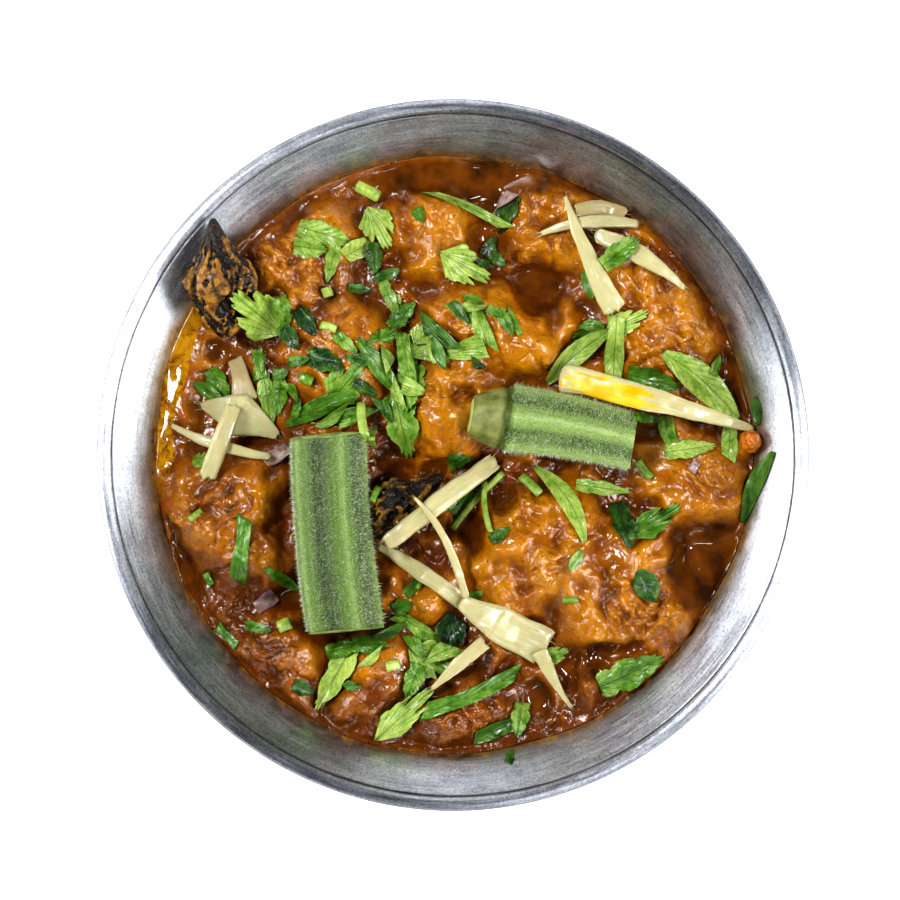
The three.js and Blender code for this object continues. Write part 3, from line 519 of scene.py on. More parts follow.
# Hollows and lumps: x, y, half length, half width, turn in degrees, height, share of oil.
features = [
    (3.5, 65.2, 22, 5.4, 0, -2.6, 1), (9.5, 58.8, 4, 3, 0, -2.4, .9), (7, 49, 5, 5, 0, -3.2, .7),
    (20.2, 38, 6.4, 6.6, 0, -7.2, .75), (23.6, 31.0, 2.5, 3.6, -25, -2.6, .6),
    (66, 17, 3.4, 8, 14, -3.4, .9), (32, 50.5, 2.5, 3, 0, -2.2, .2), (3.5, 14.6, 4, 2.4, 20, -2.2, .3),
    (-55.8, 24.8, 2.4, 2.6, 0, -2.6, 1), (-12.6, 45.4, 4.5, 2.4, 15, -2.4, .3),
    (-32, 32.6, 4, 3, 0, -1.8, .2), (-58.5, 14.5, 7, 12, 0, -1.4, .12), (-23, 13.2, 5, 3, 0, -2.2, .2),
    (-64.2, -21.8, 1.5, 8, 19, -3.4, 1), (-40.4, -17, 2.6, 7.5, 6, -3.2, .2),
    (-39.4, -33.6, 4.6, 2.8, -12, -4.2, .8), (-31.6, -40.6, 4.5, 3, 0, -2.4, .4),
    (-17.4, -33.5, 4, 5.5, 0, -2.6, .6), (-16.1, -34.2, 1.7, 2.4, 0, 4.4, 0),
    (-6, -35, 5, 3.6, 0, 2.4, .25), (-3.6, -56, 4, 2, 20, -2.4, .8), (-24, -59, 4.2, 3.6, -10, 2.6, .3),
    (-55.1, -31.2, 1.7, 1.3, 0, 1.3, .5), (-18, -50.4, 5.5, 6, 0, 1.4, 0),
    (59, -25, 8.5, 12.5, -24, -3.0, 1), (50.6, -22.3, 2.8, 2.0, -60, 1.3, 1),
    (59.5, -20, 4.5, 3.4, 0, -1.6, 1), (37.5, -45.6, 7.5, 2.2, 6, -4.6, .8),
    (30, -50.5, 8, 3.6, 18, -3.4, .8), (20, -58, 4, 3.6, 40, -3.6, 1), (31.5, -52.6, 2.2, 6, 8, 4.2, 0),
    (22.6, -51.6, 2.4, 4, 20, 2.2, .2), (16.8, -31.6, 2.2, 1.8, 0, -2.0, .9),
    (12, -10.5, 3.4, 4, 0, -2.2, .5), (4.2, -17.6, 3.2, 4, 30, -2.6, .6),
    (9.4, -23.4, 9, 2.2, 30, 1.7, 0), (36, -2.2, 3, 5, 20, -2.2, .3), (41, 6.2, 12, 2.4, -8, -3.2, .5),
    (-4, -3, 4.5, 2.4, 30, -3.0, .5), (-15.2, -7.5, 5, 3.4, 38, -3.6, .9),
    (-60.6, -33, 1.8, 7, 28, -1.8, .5), (46.5, -12, 3.4, 2.2, 0, -2.4, .5),
    (12, -2, 7, 2.4, -10, -1.8, .3), (-48, 6, 6, 4, 0, -1.6, .1), (62, 33, 3, 8, 30, -1.6, .15),
    (-50.6, 43, 4, 8, -30, -1.4, .4),
]
# Broad patches lighter or darker than the rest, added to the painted shade by height: x, y, half length, half
# width, turn, change.
patches = [
    (10, 26, 22, 12, -10, .14), (0, 54, 10, 7, 0, .1), (24, -26, 16, 11, 25, .1), (40, 26, 9, 9, 0, .08),
    (-50, -14, 20, 20, 0, -.18), (-38, 34, 18, 14, 0, -.16), (0, -60, 60, 9, 0, -.5),
    (-46, -40, 16, 12, -30, -.5), (66, 28, 6, 20, 20, -.14), (-12, -36, 14, 8, 0, -.16),
    (-20, 4, 14, 10, 0, -.1), (12, -8, 10, 6, 0, -.12), (48, -36, 16, 10, 0, -.04),
    (-56, 14, 8, 14, 0, .1),
]
# Places where the sauce stands in fine wet crinkles: x, y, radius.
crinkled = [
    (46.8, 23.4, 6), (23, -26, 5), (47, -36.6, 6), (62, -6, 5), (-7, 14, 5), (-42, 47, 6), (-44, -46, 6),
    (15, -12, 5), (58, -6, 4), (-62, -14, 5), (3, -62, 8), (41, -38, 5), (-23, 5, 5), (24, 20, 4),
    (56, 27, 5), (-50, -36, 5), (-36, 40, 6), (16, 47, 4),
]


# A share from 0 to 1 that is 1 over an oval, with a soft and uneven edge.
def oval(x, y, halfLength, halfWidth, turn):
    angle = math.radians(turn)
    wobbleX = mapX - x + 0.9 * softNoise(mapX, mapY, 3.4, 77)
    wobbleY = mapY - y + 0.9 * softNoise(mapX, mapY, 3.1, 78)
    along = (wobbleX * math.cos(angle) + wobbleY * math.sin(angle)) / halfLength
    across = (wobbleY * math.cos(angle) - wobbleX * math.sin(angle)) / halfWidth
    return np.exp(-((along ** 2 + across ** 2) ** 1.5))


muttonNames = sorted(name for name in cadNodes if name.startswith("mutton"))
meatTop = topOf(muttonNames)
gravyTop = topOf(["gravy"])
level = float(np.median(gravyTop[(gravyTop > 40) & (mapR < 60)]))
solidTop = np.maximum(np.maximum(meatTop, gravyTop), level - 1)
solidTop[mapR > innerRadius(level) - 1.5] = level + 0.6
# The sauce fills up towards the higher of its neighbours: a blur of the exponentials of the heights.
piled = soften(np.exp((solidTop - level) / curry["stiff"]), curry["spread"])
curryMap = level + curry["stiff"] * np.log(np.maximum(piled, 0.3))
curryMap = soften(np.maximum(curryMap, level - 0.6), curry["round"])
oil = np.zeros_like(curryMap)
for x, y, halfLength, halfWidth, turn, height, oily in features:
    share = oval(x, y, halfLength, halfWidth, turn)
    curryMap += height * share
    oil = np.maximum(oil, oily * ease(share, 0.15, 0.6))
poolFloor = level - 2.2 + 0.25 * softNoise(mapX, mapY, 14.0, 3)
curryMap = poolFloor + np.log1p(np.exp((curryMap - poolFloor) / 0.5)) * 0.5
oil = oil * (1 - 0.8 * ease(curryMap, level + 3.2, level + 6.2))
wrinkled = 0.25 + 0.75 * ease(softNoise(mapX, mapY, 10.0, 8) + 0.5 * softNoise(mapX, mapY, 5.0, 9), -0.5, 0.6)
crinkle = np.zeros_like(curryMap)
for x, y, radius in crinkled:
    crinkle = np.maximum(crinkle, oval(x, y, radius, radius * 0.8, 30))
relief = np.zeros_like(curryMap)
for number, (size, height) in enumerate(curry["swells"]):
    shift = 0.5 * size * softNoise(mapX, mapY, 2.0 * size, 60 + number)
    relief += height * strokes(mapX + shift, mapY - shift, size, 20 + number)
for number, (size, height) in enumerate(curry["wrinkles"]):
    shift = 0.8 * size * softNoise(mapX, mapY, 2.2 * size, 64 + number)
    lump = softNoise(mapX + shift, mapY - shift, size, 26 + number)
    relief += height * (2.0 * np.sqrt(lump ** 2 + 0.004) - 0.6) * (0.45 * wrinkled + 0.85 * crinkle)
spacing, depth = curry["creases"]
fold = np.clip(1 - 3.4 * np.abs(softNoise(mapX + relief, mapY - relief, spacing, 41)), 0, 1) ** 2
relief -= depth * fold * ease(softNoise(mapX, mapY, 9.0, 42), -0.35, 0.3)
curryMap += relief * (1 - 0.9 * np.clip(oil, 0, 1))
# By the steel the sauce climbs in a smooth hollow curve, wide at the left where a golden film clings to it.
wallGap = np.maximum(innerRadius(np.full(1, level + 1.0))[0] - mapR, 0)
mapTurn = np.arctan2(mapY, mapX)
smeared = towards(mapTurn, 2.9, 0.34)
edgeWidth = 0.75 + 0.5 * softNoise(mapX, mapY, 7.0, 91) + 0.35 * softNoise(mapX, mapY, 3.0, 92)
edgeWidth = edgeWidth + 2.2 * smeared
atWall = np.exp(-((wallGap / np.maximum(edgeWidth, 0.25)) ** 1.6))
hollow = smeared * (1 - ease(wallGap, 3.5, 7.5))
curryMap = curryMap * (1 - 0.85 * hollow) + 0.85 * hollow * (level - 1.4)
curryMap = curryMap * (1 - atWall) + atWall * (level + 0.6 + curry["climb"])
goldFilm = smeared * (1 - ease(wallGap + 0.9 * softNoise(mapX, mapY, 2.6, 93), 3.0, 5.6))
# Painted light and shade on the sauce: lighter on ridges and higher places, darker in hollows and low places.
paintedRidgeLightMap = np.clip(0.5 + (curryMap - soften(curryMap, 2.6)) / 2.2, 0, 1)
heightShadeAndPatches = ease(curryMap, level - 1.5, level + 8.5)
for x, y, halfLength, halfWidth, turn, change in patches:
    heightShadeAndPatches += change / 0.3 * oval(x, y, halfLength, halfWidth, turn)
insideMeat = soften((meatTop > level - 0.6).astype(float), 1.2)


# What the points of a grid on the curry tell its material.
def curryData(grid):
    fields = {"ridge": paintedRidgeLightMap, "rise": heightShadeAndPatches, "oil": oil, "crinkle": crinkle, "gold": goldFilm}
    return {name: lookUp(field, grid[..., 0], grid[..., 1]) for name, field in fields.items()}


# Curry: material.
# The darkest and lightest sauce inks are painted shade for the hollows and painted light for the ridges.
sauceInks = {
    "oil": ink(132, 72, 8), "oilDeep": ink(60, 29, 3), "valleyShade": ink(104, 52, 3), "body": ink(163, 94, 2),
    "ridge": ink(204, 133, 8), "meat": ink(126, 68, 26), "speck": ink(40, 16, 2), "red": ink(160, 76, 2),
    "gold": ink(206, 148, 14),
}


# Sauce: from painted shade in the hollows to the body colour to painted light on the ridges as the lit value
# rises, with red, meat and dark specks, and oil where oil or gold is set.
def sauceFinish(name):
    sauce = Finish(name, **{"Roughness": 0.15, "Specular IOR Level": 0.5, "Coat Weight": 0.3,
                            "Coat Roughness": 0.05, "Subsurface Weight": 0.06, "Subsurface Scale": 0.001})
    sauce.shader.inputs["Subsurface Radius"].default_value = (1.0, 0.35, 0.12)
    ridge, rise, oily, crinkled = (sauce.value(key) for key in ("ridge", "rise", "oil", "crinkle"))
    broad = sauce.noise(12.0, detail=3.0)
    mid = sauce.noise(3.2, detail=4.0, rough=0.6)
    fine = sauce.noise(1.1, detail=3.0, rough=0.65)
    # lit: painted light and shade from the ridges and the height of the sauce
    lit = sauce.plus(sauce.times(ridge, 0.46), sauce.ramp(rise, -0.6, 1.0, -0.04, 0.4))
    lit = sauce.plus(lit, sauce.ramp(mid, 0.3, 0.7, -0.12, 0.12))
    lit = sauce.plus(lit, sauce.ramp(broad, 0.3, 0.7, -0.14, 0.14))
    colour = sauce.tint(sauceInks["valleyShade"], sauceInks["body"], lit, 0.2, 0.5)
    colour = sauce.tint(colour, sauceInks["ridge"], lit, 0.5, 0.85)
    reddish = sauce.ramp(sauce.noise(7.0, detail=3.0, warp=0.6), 0.5, 0.66, 0.0, 0.4)
    colour = sauce.mix(reddish, colour, sauceInks["red"])
    bare = sauce.ramp(sauce.noise(6.0, detail=4.0, warp=1.0), 0.58, 0.68, 0.0, 0.55)
    colour = sauce.mix(bare, colour, sauceInks["meat"])
    colour = sauce.tint(colour, sauceInks["valleyShade"], fine, 0.54, 0.7, 0.4)
    dots = {"Vector": sauce.place, "Scale": 1 / (1.7 * mm), "Randomness": 1.0}
    speck = sauce.node("ShaderNodeTexVoronoi", dots).outputs["Distance"]
    dotted = sauce.times(sauce.ramp(speck, 0.1, 0.18, 0.9, 0.0), sauce.ramp(mid, 0.45, 0.55))
    colour = sauce.mix(dotted, colour, sauceInks["speck"])
    deep = sauce.tint(sauceInks["oilDeep"], sauceInks["oil"], sauce.noise(6.0, detail=2.0), 0.3, 0.68)
    colour = sauce.tint(colour, deep, oily, 0.2, 0.9)
    golden = sauce.value("gold")
    streaked = sauce.ramp(sauce.noise(2.6, detail=4.0, rough=0.7, warp=0.8), 0.36, 0.56)
    film = sauce.mix(streaked, sauceInks["oil"], sauceInks["gold"])
    film = sauce.tint(film, sauceInks["speck"], sauce.noise(1.7, detail=3.0, warp=1.2), 0.6, 0.68, 0.9)
    sauce.use("Base Color", sauce.tint(colour, film, golden, 0.25, 0.6))
    wetness = sauce.larger(sauce.ramp(sauce.noise(5.0, detail=3.0), 0.5, 0.62, 0.0, 0.85), crinkled)
    wetness = sauce.larger(wetness, sauce.larger(sauce.ramp(oily, 0.15, 0.5), golden))
    sauce.use("Roughness", sauce.ramp(wetness, 0.0, 0.9, 0.26, 0.06))
    calm = sauce.ramp(sauce.larger(oily, golden), 0.2, 0.8, 1.0, 0.08)
    beady = sauce.times(calm, sauce.ramp(crinkled, 0.0, 0.7, 0.3, 1.0))
    beads = sauce.bump(sauce.times(sauce.noise(1.4, detail=1.0, warp=0.5), beady), 0.85, 1.0)
    grainy = sauce.times(calm, sauce.ramp(crinkled, 0.1, 0.7, 1.0, 0.3))
    sauce.use("Normal", sauce.bump(sauce.times(sauce.noise(0.55, detail=2.0), grainy), 0.1, 1.0, beads))
    return sauce.material


gravy = {
    "around": 640,
    "rings": 132,
    "under": 0.9,  # how far it stays under the pieces that cover it
    "overlap": 0.04,  # how far its edge reaches into the steel, so that no gap shows
    "gap": 0.35,
}


# Points past the steel's inner side, at their own height, are pulled in to stand a gap away from it.
def heldInside(grid, gap):
    far = np.maximum(np.hypot(grid[..., 0], grid[..., 1]), 1e-6)
    pull = np.minimum(1, (innerRadius(grid[..., 2]) - gap) / far)
    return np.concatenate([grid[..., :2] * pull[..., None], grid[..., 2:]], -1)


# Rings out from the middle on the height map, up to the steel, then down along it and in over its floor.
def gravyPart():
    theta = np.linspace(0, 2 * math.pi, gravy["around"], endpoint=False)[None]
    edge = curryEdge(theta)
    reach = innerRadius(edge) + gravy["overlap"]
    share = np.linspace(0.006, 1, gravy["rings"])[:, None]
    radius = share * reach
    x, y = radius * np.cos(theta), radius * np.sin(theta)
    height = lookUp(curryMap, x, y) - gravy["under"] * ease(lookUp(insideMeat, x, y), 0.955, 0.998)
    height = height + (edge - height) * ease(share, 0.975, 1.0) ** 2
    top = heldInside(np.stack([x, y, height], -1), -gravy["overlap"])
    drop = np.linspace(1, 0, 7)[:, None]
    low = bowl["sheet"] + gravy["gap"]
    depth = low + (edge - 0.25 - low) * drop
    inner = innerRadius(depth) - gravy["gap"] * (1 + 1.5 * (1 - drop))
    wall = np.stack([inner * np.cos(theta), inner * np.sin(theta), depth], -1)
    grid = np.concatenate([top, wall])
    return closedRings(grid, [0, 0, float(height[0].mean())], [0, 0, low], **curryData(grid))


sauceMaterial = sauceFinish("currySauce")
makePiece("gravy.surface", [gravyPart()], sauceMaterial, ["gravy"])
print("gravy made, level", round(level, 2))


# Curry: mutton.
mutton = {
    "around": 190,
    "rings": 46,
    "rayStep": 0.2,
    "rounding": 3.0,  # blur of the outline, in rays
    "proud": 0.03,  # how far a piece stands over the gravy's surface, and how far its edge dips under it
    "tuck": 0.09,
    "skirt": 5.0,
    "dive": 0.945,  # where the skirt starts
    "foot": 0.7,
    "footDepth": 9,
    "wallGap": 0.5,
}


# A piece covers its own CAD footprint: rings out from its middle on the height map, then a skirt down into
# the gravy and a narrower foot.
def muttonPart(name):
    footprint = topOf([name]) > level - 0.8
    low, high = (np.array(corner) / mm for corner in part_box(name))
    middle = np.array([mapX[footprint].mean(), mapY[footprint].mean()])
    theta = np.linspace(0, 2 * math.pi, mutton["around"], endpoint=False)
    steps = np.arange(0, 30, mutton["rayStep"])
    ray = np.hypot(high[0] - low[0], high[1] - low[1])
    x = middle[0] + np.cos(theta)[:, None] * steps
    y = middle[1] + np.sin(theta)[:, None] * steps
    filled = lookUp(soften(footprint.astype(float), 0.5), x, y) > 0.5
    reach = np.minimum(np.cumprod(filled, axis=1).sum(1) * mutton["rayStep"], ray)
    bell = np.exp(-2 * (math.pi * mutton["rounding"] * np.fft.fftfreq(len(theta))) ** 2)
    reach = np.fft.ifft(np.fft.fft(reach) * bell).real
    share = np.linspace(0.015, 1, mutton["rings"])[:, None]
    x = middle[0] + share * reach * np.cos(theta)
    y = middle[1] + share * reach * np.sin(theta)
    most = innerRadius(level + 1.5) - mutton["wallGap"]
    pull = np.minimum(1, most / np.maximum(np.hypot(x, y), 1e-6))
    x, y = x * pull, y * pull
    height = lookUp(curryMap, x, y) + mutton["proud"] - mutton["tuck"] * ease(share, 0.86, 0.94)
    height = height - mutton["skirt"] * ((share - mutton["dive"]).clip(0) / (1 - mutton["dive"])) ** 2
    top = np.stack([x, y, height], -1)
    foot = middle + mutton["foot"] * (top[-1, :, :2] - middle)
    foot = np.concatenate([foot, np.full((len(theta), 1), max(low[2], level - mutton["footDepth"]))], -1)
    grid = heldInside(np.concatenate([top, foot[None]]), mutton["wallGap"])
    start = [*middle, float(lookUp(curryMap, middle[:1], middle[1:])[0]) + mutton["proud"]]
    return closedRings(grid, start, grid[-1].mean(0), **curryData(grid))


for name in sorted(set(muttonNames) - {"mutton_17"}):
    makePiece(name + ".sauced", [muttonPart(name)], sauceMaterial, [name])
print("mutton made")


crumb = {"size": 0.92, "tilts": 40, "turns": 56, "lumps": [(1.6, 0.09, 5), (0.7, 0.04, 6)], "wallGap": 0.3}


# The small orange crumb at the right edge: a ball whose radius swells by lumps of two sizes.
def crumbPart(name):
    low, high = (np.array(corner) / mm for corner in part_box(name))
    middle, half = (low + high) / 2, (high - low) / 2 * crumb["size"]
    tilt = np.linspace(0.04, math.pi - 0.04, crumb["tilts"])[:, None]
    turn = np.linspace(0, 2 * math.pi, crumb["turns"], endpoint=False)[None]
    ball = np.stack([np.sin(tilt) * np.cos(turn), np.sin(tilt) * np.sin(turn), np.cos(tilt) + 0 * turn], -1)
    radius = 1.0
    for size, height, seed in crumb["lumps"]:
        spot = 4 * ball[..., 0], 4 * ball[..., 1] + 3 * ball[..., 2]
        radius = radius + height * softNoise(*spot, size, seed)
    grid = heldInside(middle + half * radius[..., None] * ball, crumb["wallGap"])
    return closedRings(grid, grid[0].mean(0), grid[-1].mean(0))


# Crumb: two oranges mixed by noise.
def crumbFinish():
    orange = Finish("orangeCrumb", **{"Roughness": 0.3, "Coat Weight": 0.3, "Subsurface Weight": 0.15,
                                      "Subsurface Scale": 0.0015})
    colour = orange.tint(ink(176, 84, 14), ink(236, 146, 30), orange.noise(1.6), 0.35, 0.62)
    orange.use("Base Color", colour)
    orange.use("Normal", orange.bump(orange.noise(0.7), 0.3, 0.7))
    return orange.material


makePiece("mutton_17.crumb", [crumbPart("mutton_17")], crumbFinish(), ["mutton_17"])

# The top of all that is laid so far: what comes later lies on it.
topMap = curryMap.copy()
onWall = mapR > innerRadius(level)
topMap[onWall] = np.interp(mapR[onWall], innerWall[:, 0], innerWall[:, 1])


# Okra.
okraCuts = {
    "okra_long": {
        "start": (-29.4, 4.5), "end": (-25.4, -41.0), "radii": (9.0, 9.3), "bow": -0.9, "height": 54.8,
        "rise": -0.6, "cap": 0.0, "spin": -0.07, "cutTilt": 0.12, "hairs": 15000,
        "finish": {"name": "okraDarkSkin", "skin": ink(94, 126, 42), "pale": ink(156, 182, 100),
                   "dark": ink(38, 60, 20)},
    },
    "okra_short": {
        "start": (4.1, 9.2), "end": (42.0, 2.9), "radii": (8.4, 6.7), "bow": 0.9, "height": 55.8,
        "rise": -1.2, "cap": 8.0, "spin": 0.2, "cutTilt": 0.1, "hairs": 10000,
        "finish": {"name": "okraPaleSkin", "skin": ink(148, 180, 92), "pale": ink(202, 220, 150),
                   "dark": ink(70, 98, 40)},
    },
}
okraShape = {
    "around": 170,
    "stations": 150,
    "ribs": 5,
    "hollow": 0.87,  # radius between the ribs, as a share of the radius on them
    "ribPower": 2.2,
    "capCone": (0.48, 0.45, 0.55),  # share of the radius at the tip, how much it gains, and by which power
    "seedRings": 16,
    "roomDepth": 1.3,
    "seedHeight": 0.7,
    "hairTall": (0.3, 0.95),
    "hairRadius": (0.035, 0.07),
    "hairLean": 0.4,
}


# Places on the pod: along the bowed middle line, then out by radius times a five-rib wave, narrowed to a cone
# in the cap, and slanted at both cuts.
def okraSurface(cut, share, angle, scale=1.0):
    start = np.array([*cut["start"], cut["height"] - cut["rise"]])
    end = np.array([*cut["end"], cut["height"] + cut["rise"]])
    length = np.linalg.norm(end - start)
    along = (end - start) / length
    side = np.array([-along[1], along[0], 0.0])
    side /= np.linalg.norm(side)
    up = np.cross(along, side)
    capShare = cut["cap"] / length
    rib = np.abs(np.cos(okraShape["ribs"] / 2 * angle)) ** okraShape["ribPower"]
    minor = 0.014 * np.cos(15 * angle + 0.6) + 0.007 * np.cos(40 * angle)
    body = okraShape["hollow"] + (1 - okraShape["hollow"]) * rib + minor
    wobble = 0.012 * softNoise(share * length, angle * 6, 7.0, 12)
    radius = cut["radii"][0] + (cut["radii"][1] - cut["radii"][0]) * share
    inCap, groove = np.zeros_like(share), 0.0
    if cut["cap"]:
        inCap = 1 - ease(share, capShare * 0.93, capShare + 1e-6)
        groove = 0.05 * np.exp(-(((share - capShare) / 0.022) ** 2))
    tipRadius, gain, power = okraShape["capCone"]
    capLine = tipRadius + gain * np.clip(share / max(capShare, 1e-6), 0, 1) ** power
    reach = radius * scale * ((body + wobble) * (1 - inCap) + capLine * inCap - groove)
    turned = angle + cut["spin"]
    tilt = cut["cutTilt"] * reach * np.sin(turned) * (ease(share, 0.9, 1.0) - ease(-share, -0.04, 0.0) * 0.4)
    bow = cut["bow"] * 4 * share * (1 - share)
    middle = start + along * (share * length)[..., None] + side * bow[..., None]
    place = middle + side * (reach * np.cos(turned))[..., None] + up * (reach * np.sin(turned))[..., None]
    return place - along * tilt[..., None], rib, inCap


# A cut of okra: rings along the pod, and at each cut end rings inwards, sunk into five seed rooms between
# walls of flesh. The end of the cap has no rooms.
def okraPart(cut):
    angle = np.linspace(0, 2 * math.pi, okraShape["around"], endpoint=False)[None]
    share = np.linspace(0, 1, okraShape["stations"])[:, None]
    share, angle = np.broadcast_arrays(share, angle)
    grid, rib, inCap = okraSurface(cut, share, angle)
    inwards = np.linspace(0.97, 0.05, okraShape["seedRings"])[:, None]
    turn = angle[:1] + 0 * inwards
    rooms = np.clip(np.abs(np.sin(okraShape["ribs"] / 2 * turn)) * 2.2 - 0.7, 0, 1)
    rooms = rooms * ease(inwards, 0.2, 0.36) * (1 - ease(inwards, 0.68, 0.8))
    seeds = rooms * ease(np.cos(14 * inwards + 5 * turn), 0.55, 0.9)
    sunk = (okraShape["roomDepth"] * rooms - okraShape["seedHeight"] * seeds)[..., None]
    opened = float(cut["cap"] == 0)
    along = np.array([*cut["end"], 0]) - np.array([*cut["start"], 0])
    length = np.linalg.norm(along)
    first = okraSurface(cut, np.full(turn.shape, 0.0), turn, inwards)[0] + opened * along / length * sunk
    last = okraSurface(cut, np.full(turn.shape, 1.0), turn, inwards)[0] - along / length * sunk
    grid = np.concatenate([first[::-1], grid, last])
    none = 0 * rooms

    def joined(atFirst, onSkin, atLast):
        return np.concatenate([atFirst[::-1], onSkin, atLast])

    fromStart = joined(none, share, 1 + none) * length
    ring = np.exp(-(((fromStart - cut["cap"]) / 1.1) ** 2)) * (cut["cap"] > 0)
    return closedRings(grid, grid[0].mean(0), grid[-1].mean(0), ring=ring,
                       flesh=joined(1 + none, 0 * share, 1 + none),
                       room=joined(opened * rooms, 0 * share, rooms),
                       seed=joined(opened * seeds, 0 * share, seeds), rib=joined(none, rib, none),
                       cap=joined(inCap[:1] + none, inCap, none))


# Short hairs stand out from the skin, evenly strewn, each leaning its own way.
def okraHairs(cut, seed):
    random = np.random.default_rng(seed)
    count = cut["hairs"]
    length = np.linalg.norm(np.subtract(cut["end"], cut["start"]))
    share = random.uniform(cut["cap"] / length + 0.015 if cut["cap"] else 0.004, 0.985, count)
    angle = random.uniform(0, 2 * math.pi, count)
    root = okraSurface(cut, share, angle)[0]
    direction = okraSurface(cut, share, angle, 1.08)[0] - root
    direction /= np.linalg.norm(direction, axis=1, keepdims=True)
    lean = random.normal(0, okraShape["hairLean"], (count, 3))
    tall = random.uniform(*okraShape["hairTall"], count)[:, None]
    return spikes(root - direction * 0.05, root + (direction + lean) * tall,
                  random.uniform(*okraShape["hairRadius"], count))


# Okra: dark in the grooves and pale on the ribs, a smooth cap, and flesh, seed rooms and seeds at the cuts.
def okraFinish(name, skin, pale, dark):
    okra = Finish(name, **{"Roughness": 0.5, "Specular IOR Level": 0.35, "Subsurface Weight": 0.06,
                           "Subsurface Scale": 0.001})
    rib, flesh, room, seed = (okra.value(key) for key in ("rib", "flesh", "room", "seed"))
    cap, ring = okra.value("cap"), okra.value("ring")
    speck = okra.noise(0.45, detail=3.0, rough=0.7)
    mottle = okra.noise(3.0, detail=3.0)
    colour = okra.tint(dark, skin, rib, 0.1, 0.75)
    colour = okra.tint(colour, pale, rib, 0.9, 1.0, 0.55)
    colour = okra.tint(colour, pale, speck, 0.5, 0.66, 0.5)
    colour = okra.tint(colour, dark, speck, 0.46, 0.34, 0.55)
    colour = okra.tint(colour, skin, mottle, 0.45, 0.68, 0.4)
    smooth = okra.tint(ink(96, 102, 40), ink(146, 152, 86), okra.noise(3.0, detail=3.0), 0.35, 0.65)
    colour = okra.mix(cap, colour, smooth)
    colour = okra.tint(colour, ink(66, 80, 14), ring, 0.1, 0.8, 0.9)
    inner = okra.mix(room, ink(176, 192, 112), ink(92, 122, 58))
    inner = okra.mix(seed, inner, ink(226, 222, 184))
    okra.use("Base Color", okra.mix(flesh, colour, inner))
    okra.use("Roughness", okra.ramp(speck, 0.3, 0.7, 0.38, 0.6))
    rough = okra.bump(speck, 0.22, 0.7)
    okra.use("Normal", okra.bump(okra.noise(1.3, detail=2.0), 0.12, 0.5, rough))
    return okra.material


# Hairs: two pale greens mixed by noise.
def hairFinish():
    hair = Finish("okraHair", **{"Roughness": 0.4})
    hair.use("Base Color", hair.tint(ink(176, 200, 140), ink(236, 240, 216), hair.noise(1.2), 0.4, 0.6))
    return hair.material


hairMaterial = hairFinish()
for number, (name, cut) in enumerate(okraCuts.items()):
    part = okraPart(cut)
    makePiece(name + ".pod", [part], okraFinish(**cut["finish"]), [name])
    makePiece(name + ".hairs", [okraHairs(cut, 70 + number)], hairMaterial)
    raiseMap(topMap, part["points"])
print("okra made")


# Black cardamom.
pods = {
    "cardamom_rim": {"tip": (-55.4, 54.6, 62.5), "blunt": (-53.0, 27.6, 53.0), "radius": 8.0,
                     "curry": 0.2, "seed": 3},
    "cardamom_middle": {"tip": (-2.2, -4.6, 50.5), "blunt": (-21.5, -18.5, 48.5), "radius": 6.6,
                        "curry": 0.1, "seed": 9},
}
podShape = {
    "stations": 150,
    "around": 170,
    "shares": [0, .06, .16, .28, .4, .52, .7, .84, .94, 1],
    "widths": [.05, .17, .3, .52, .86, 1, .9, .68, .42, .16],
    "flat": 0.94,
    "ribs": 0.09,
    # heights in mm of the lumps, knobs, wrinkles and grit in the husk, and of the sauce on it
    "lumps": 0.9,
    "knobs": 0.75,
    "wrinkles": 0.7,
    "grit": 0.4,
    "sauce": 0.5,
}


# A pod: the profile's width along its line, three soft ribs, deep lengthwise wrinkles and lumps of clinging
# sauce.
def podPart(pod):
    tip, blunt = np.array(pod["tip"]), np.array(pod["blunt"])
    length = np.linalg.norm(blunt - tip)
    along = (blunt - tip) / length
    side = np.array([-along[1], along[0], 0]) / np.hypot(along[0], along[1])
    up = np.cross(along, side)
    share = np.linspace(0.012, 0.985, podShape["stations"])[:, None]
    angle = np.linspace(-math.pi / 2, 1.5 * math.pi, podShape["around"], endpoint=False)[None]
    awayFromSeam = ease(np.minimum(angle + math.pi / 2, 1.5 * math.pi - angle), 0.0, 0.5)
    swell = np.interp(share[:, 0], podShape["shares"], podShape["widths"])
    window = np.hanning(19)[1:-1] / np.hanning(19).sum()
    swell = np.convolve(np.pad(swell, 8, "edge"), window, "valid")[:, None]

    def over(size, stretch, seed):
        around, lengthwise = angle * pod["radius"] / size, share * length / (size * stretch)
        return awayFromSeam * softNoise(around, lengthwise, 1.0, pod["seed"] + seed)

    lumps, knobs, grit = over(4.2, 1.1, 2), over(1.7, 1.2, 6), over(0.75, 1.0, 3)
    wrinkle = np.clip(1 - 2.2 * np.abs(over(2.4, 3.4, 0)), 0, 1)
    wrinkle = wrinkle + 0.5 * np.clip(1 - 2.6 * np.abs(over(1.2, 2.2, 1)), 0, 1)
    radius = pod["radius"] * (1 + podShape["ribs"] * np.cos(3 * angle + 0.8)) + podShape["lumps"] * lumps
    radius = radius + podShape["knobs"] * knobs - podShape["wrinkles"] * wrinkle + podShape["grit"] * grit
    coat = 0.5 * lumps + 0.75 * knobs - 0.2 * wrinkle + 0.45 * grit + 0.2 * np.sin(angle)
    onPod = ease(coat, 0.06 - pod["curry"], 0.3 - pod["curry"]) * ease(share, 0.1, 0.22)
    radius = np.minimum(radius + podShape["sauce"] * onPod, pod["radius"] * 1.12) * swell
    middle = tip + along * (share * length)[..., None]
    upward = podShape["flat"] * radius * np.sin(angle)
    grid = middle + side * (radius * np.cos(angle))[..., None] + up * upward[..., None]
    return closedRings(grid, tip + along * 0.02, blunt, coat=onPod, wrinkle=np.clip(wrinkle, 0, 1))


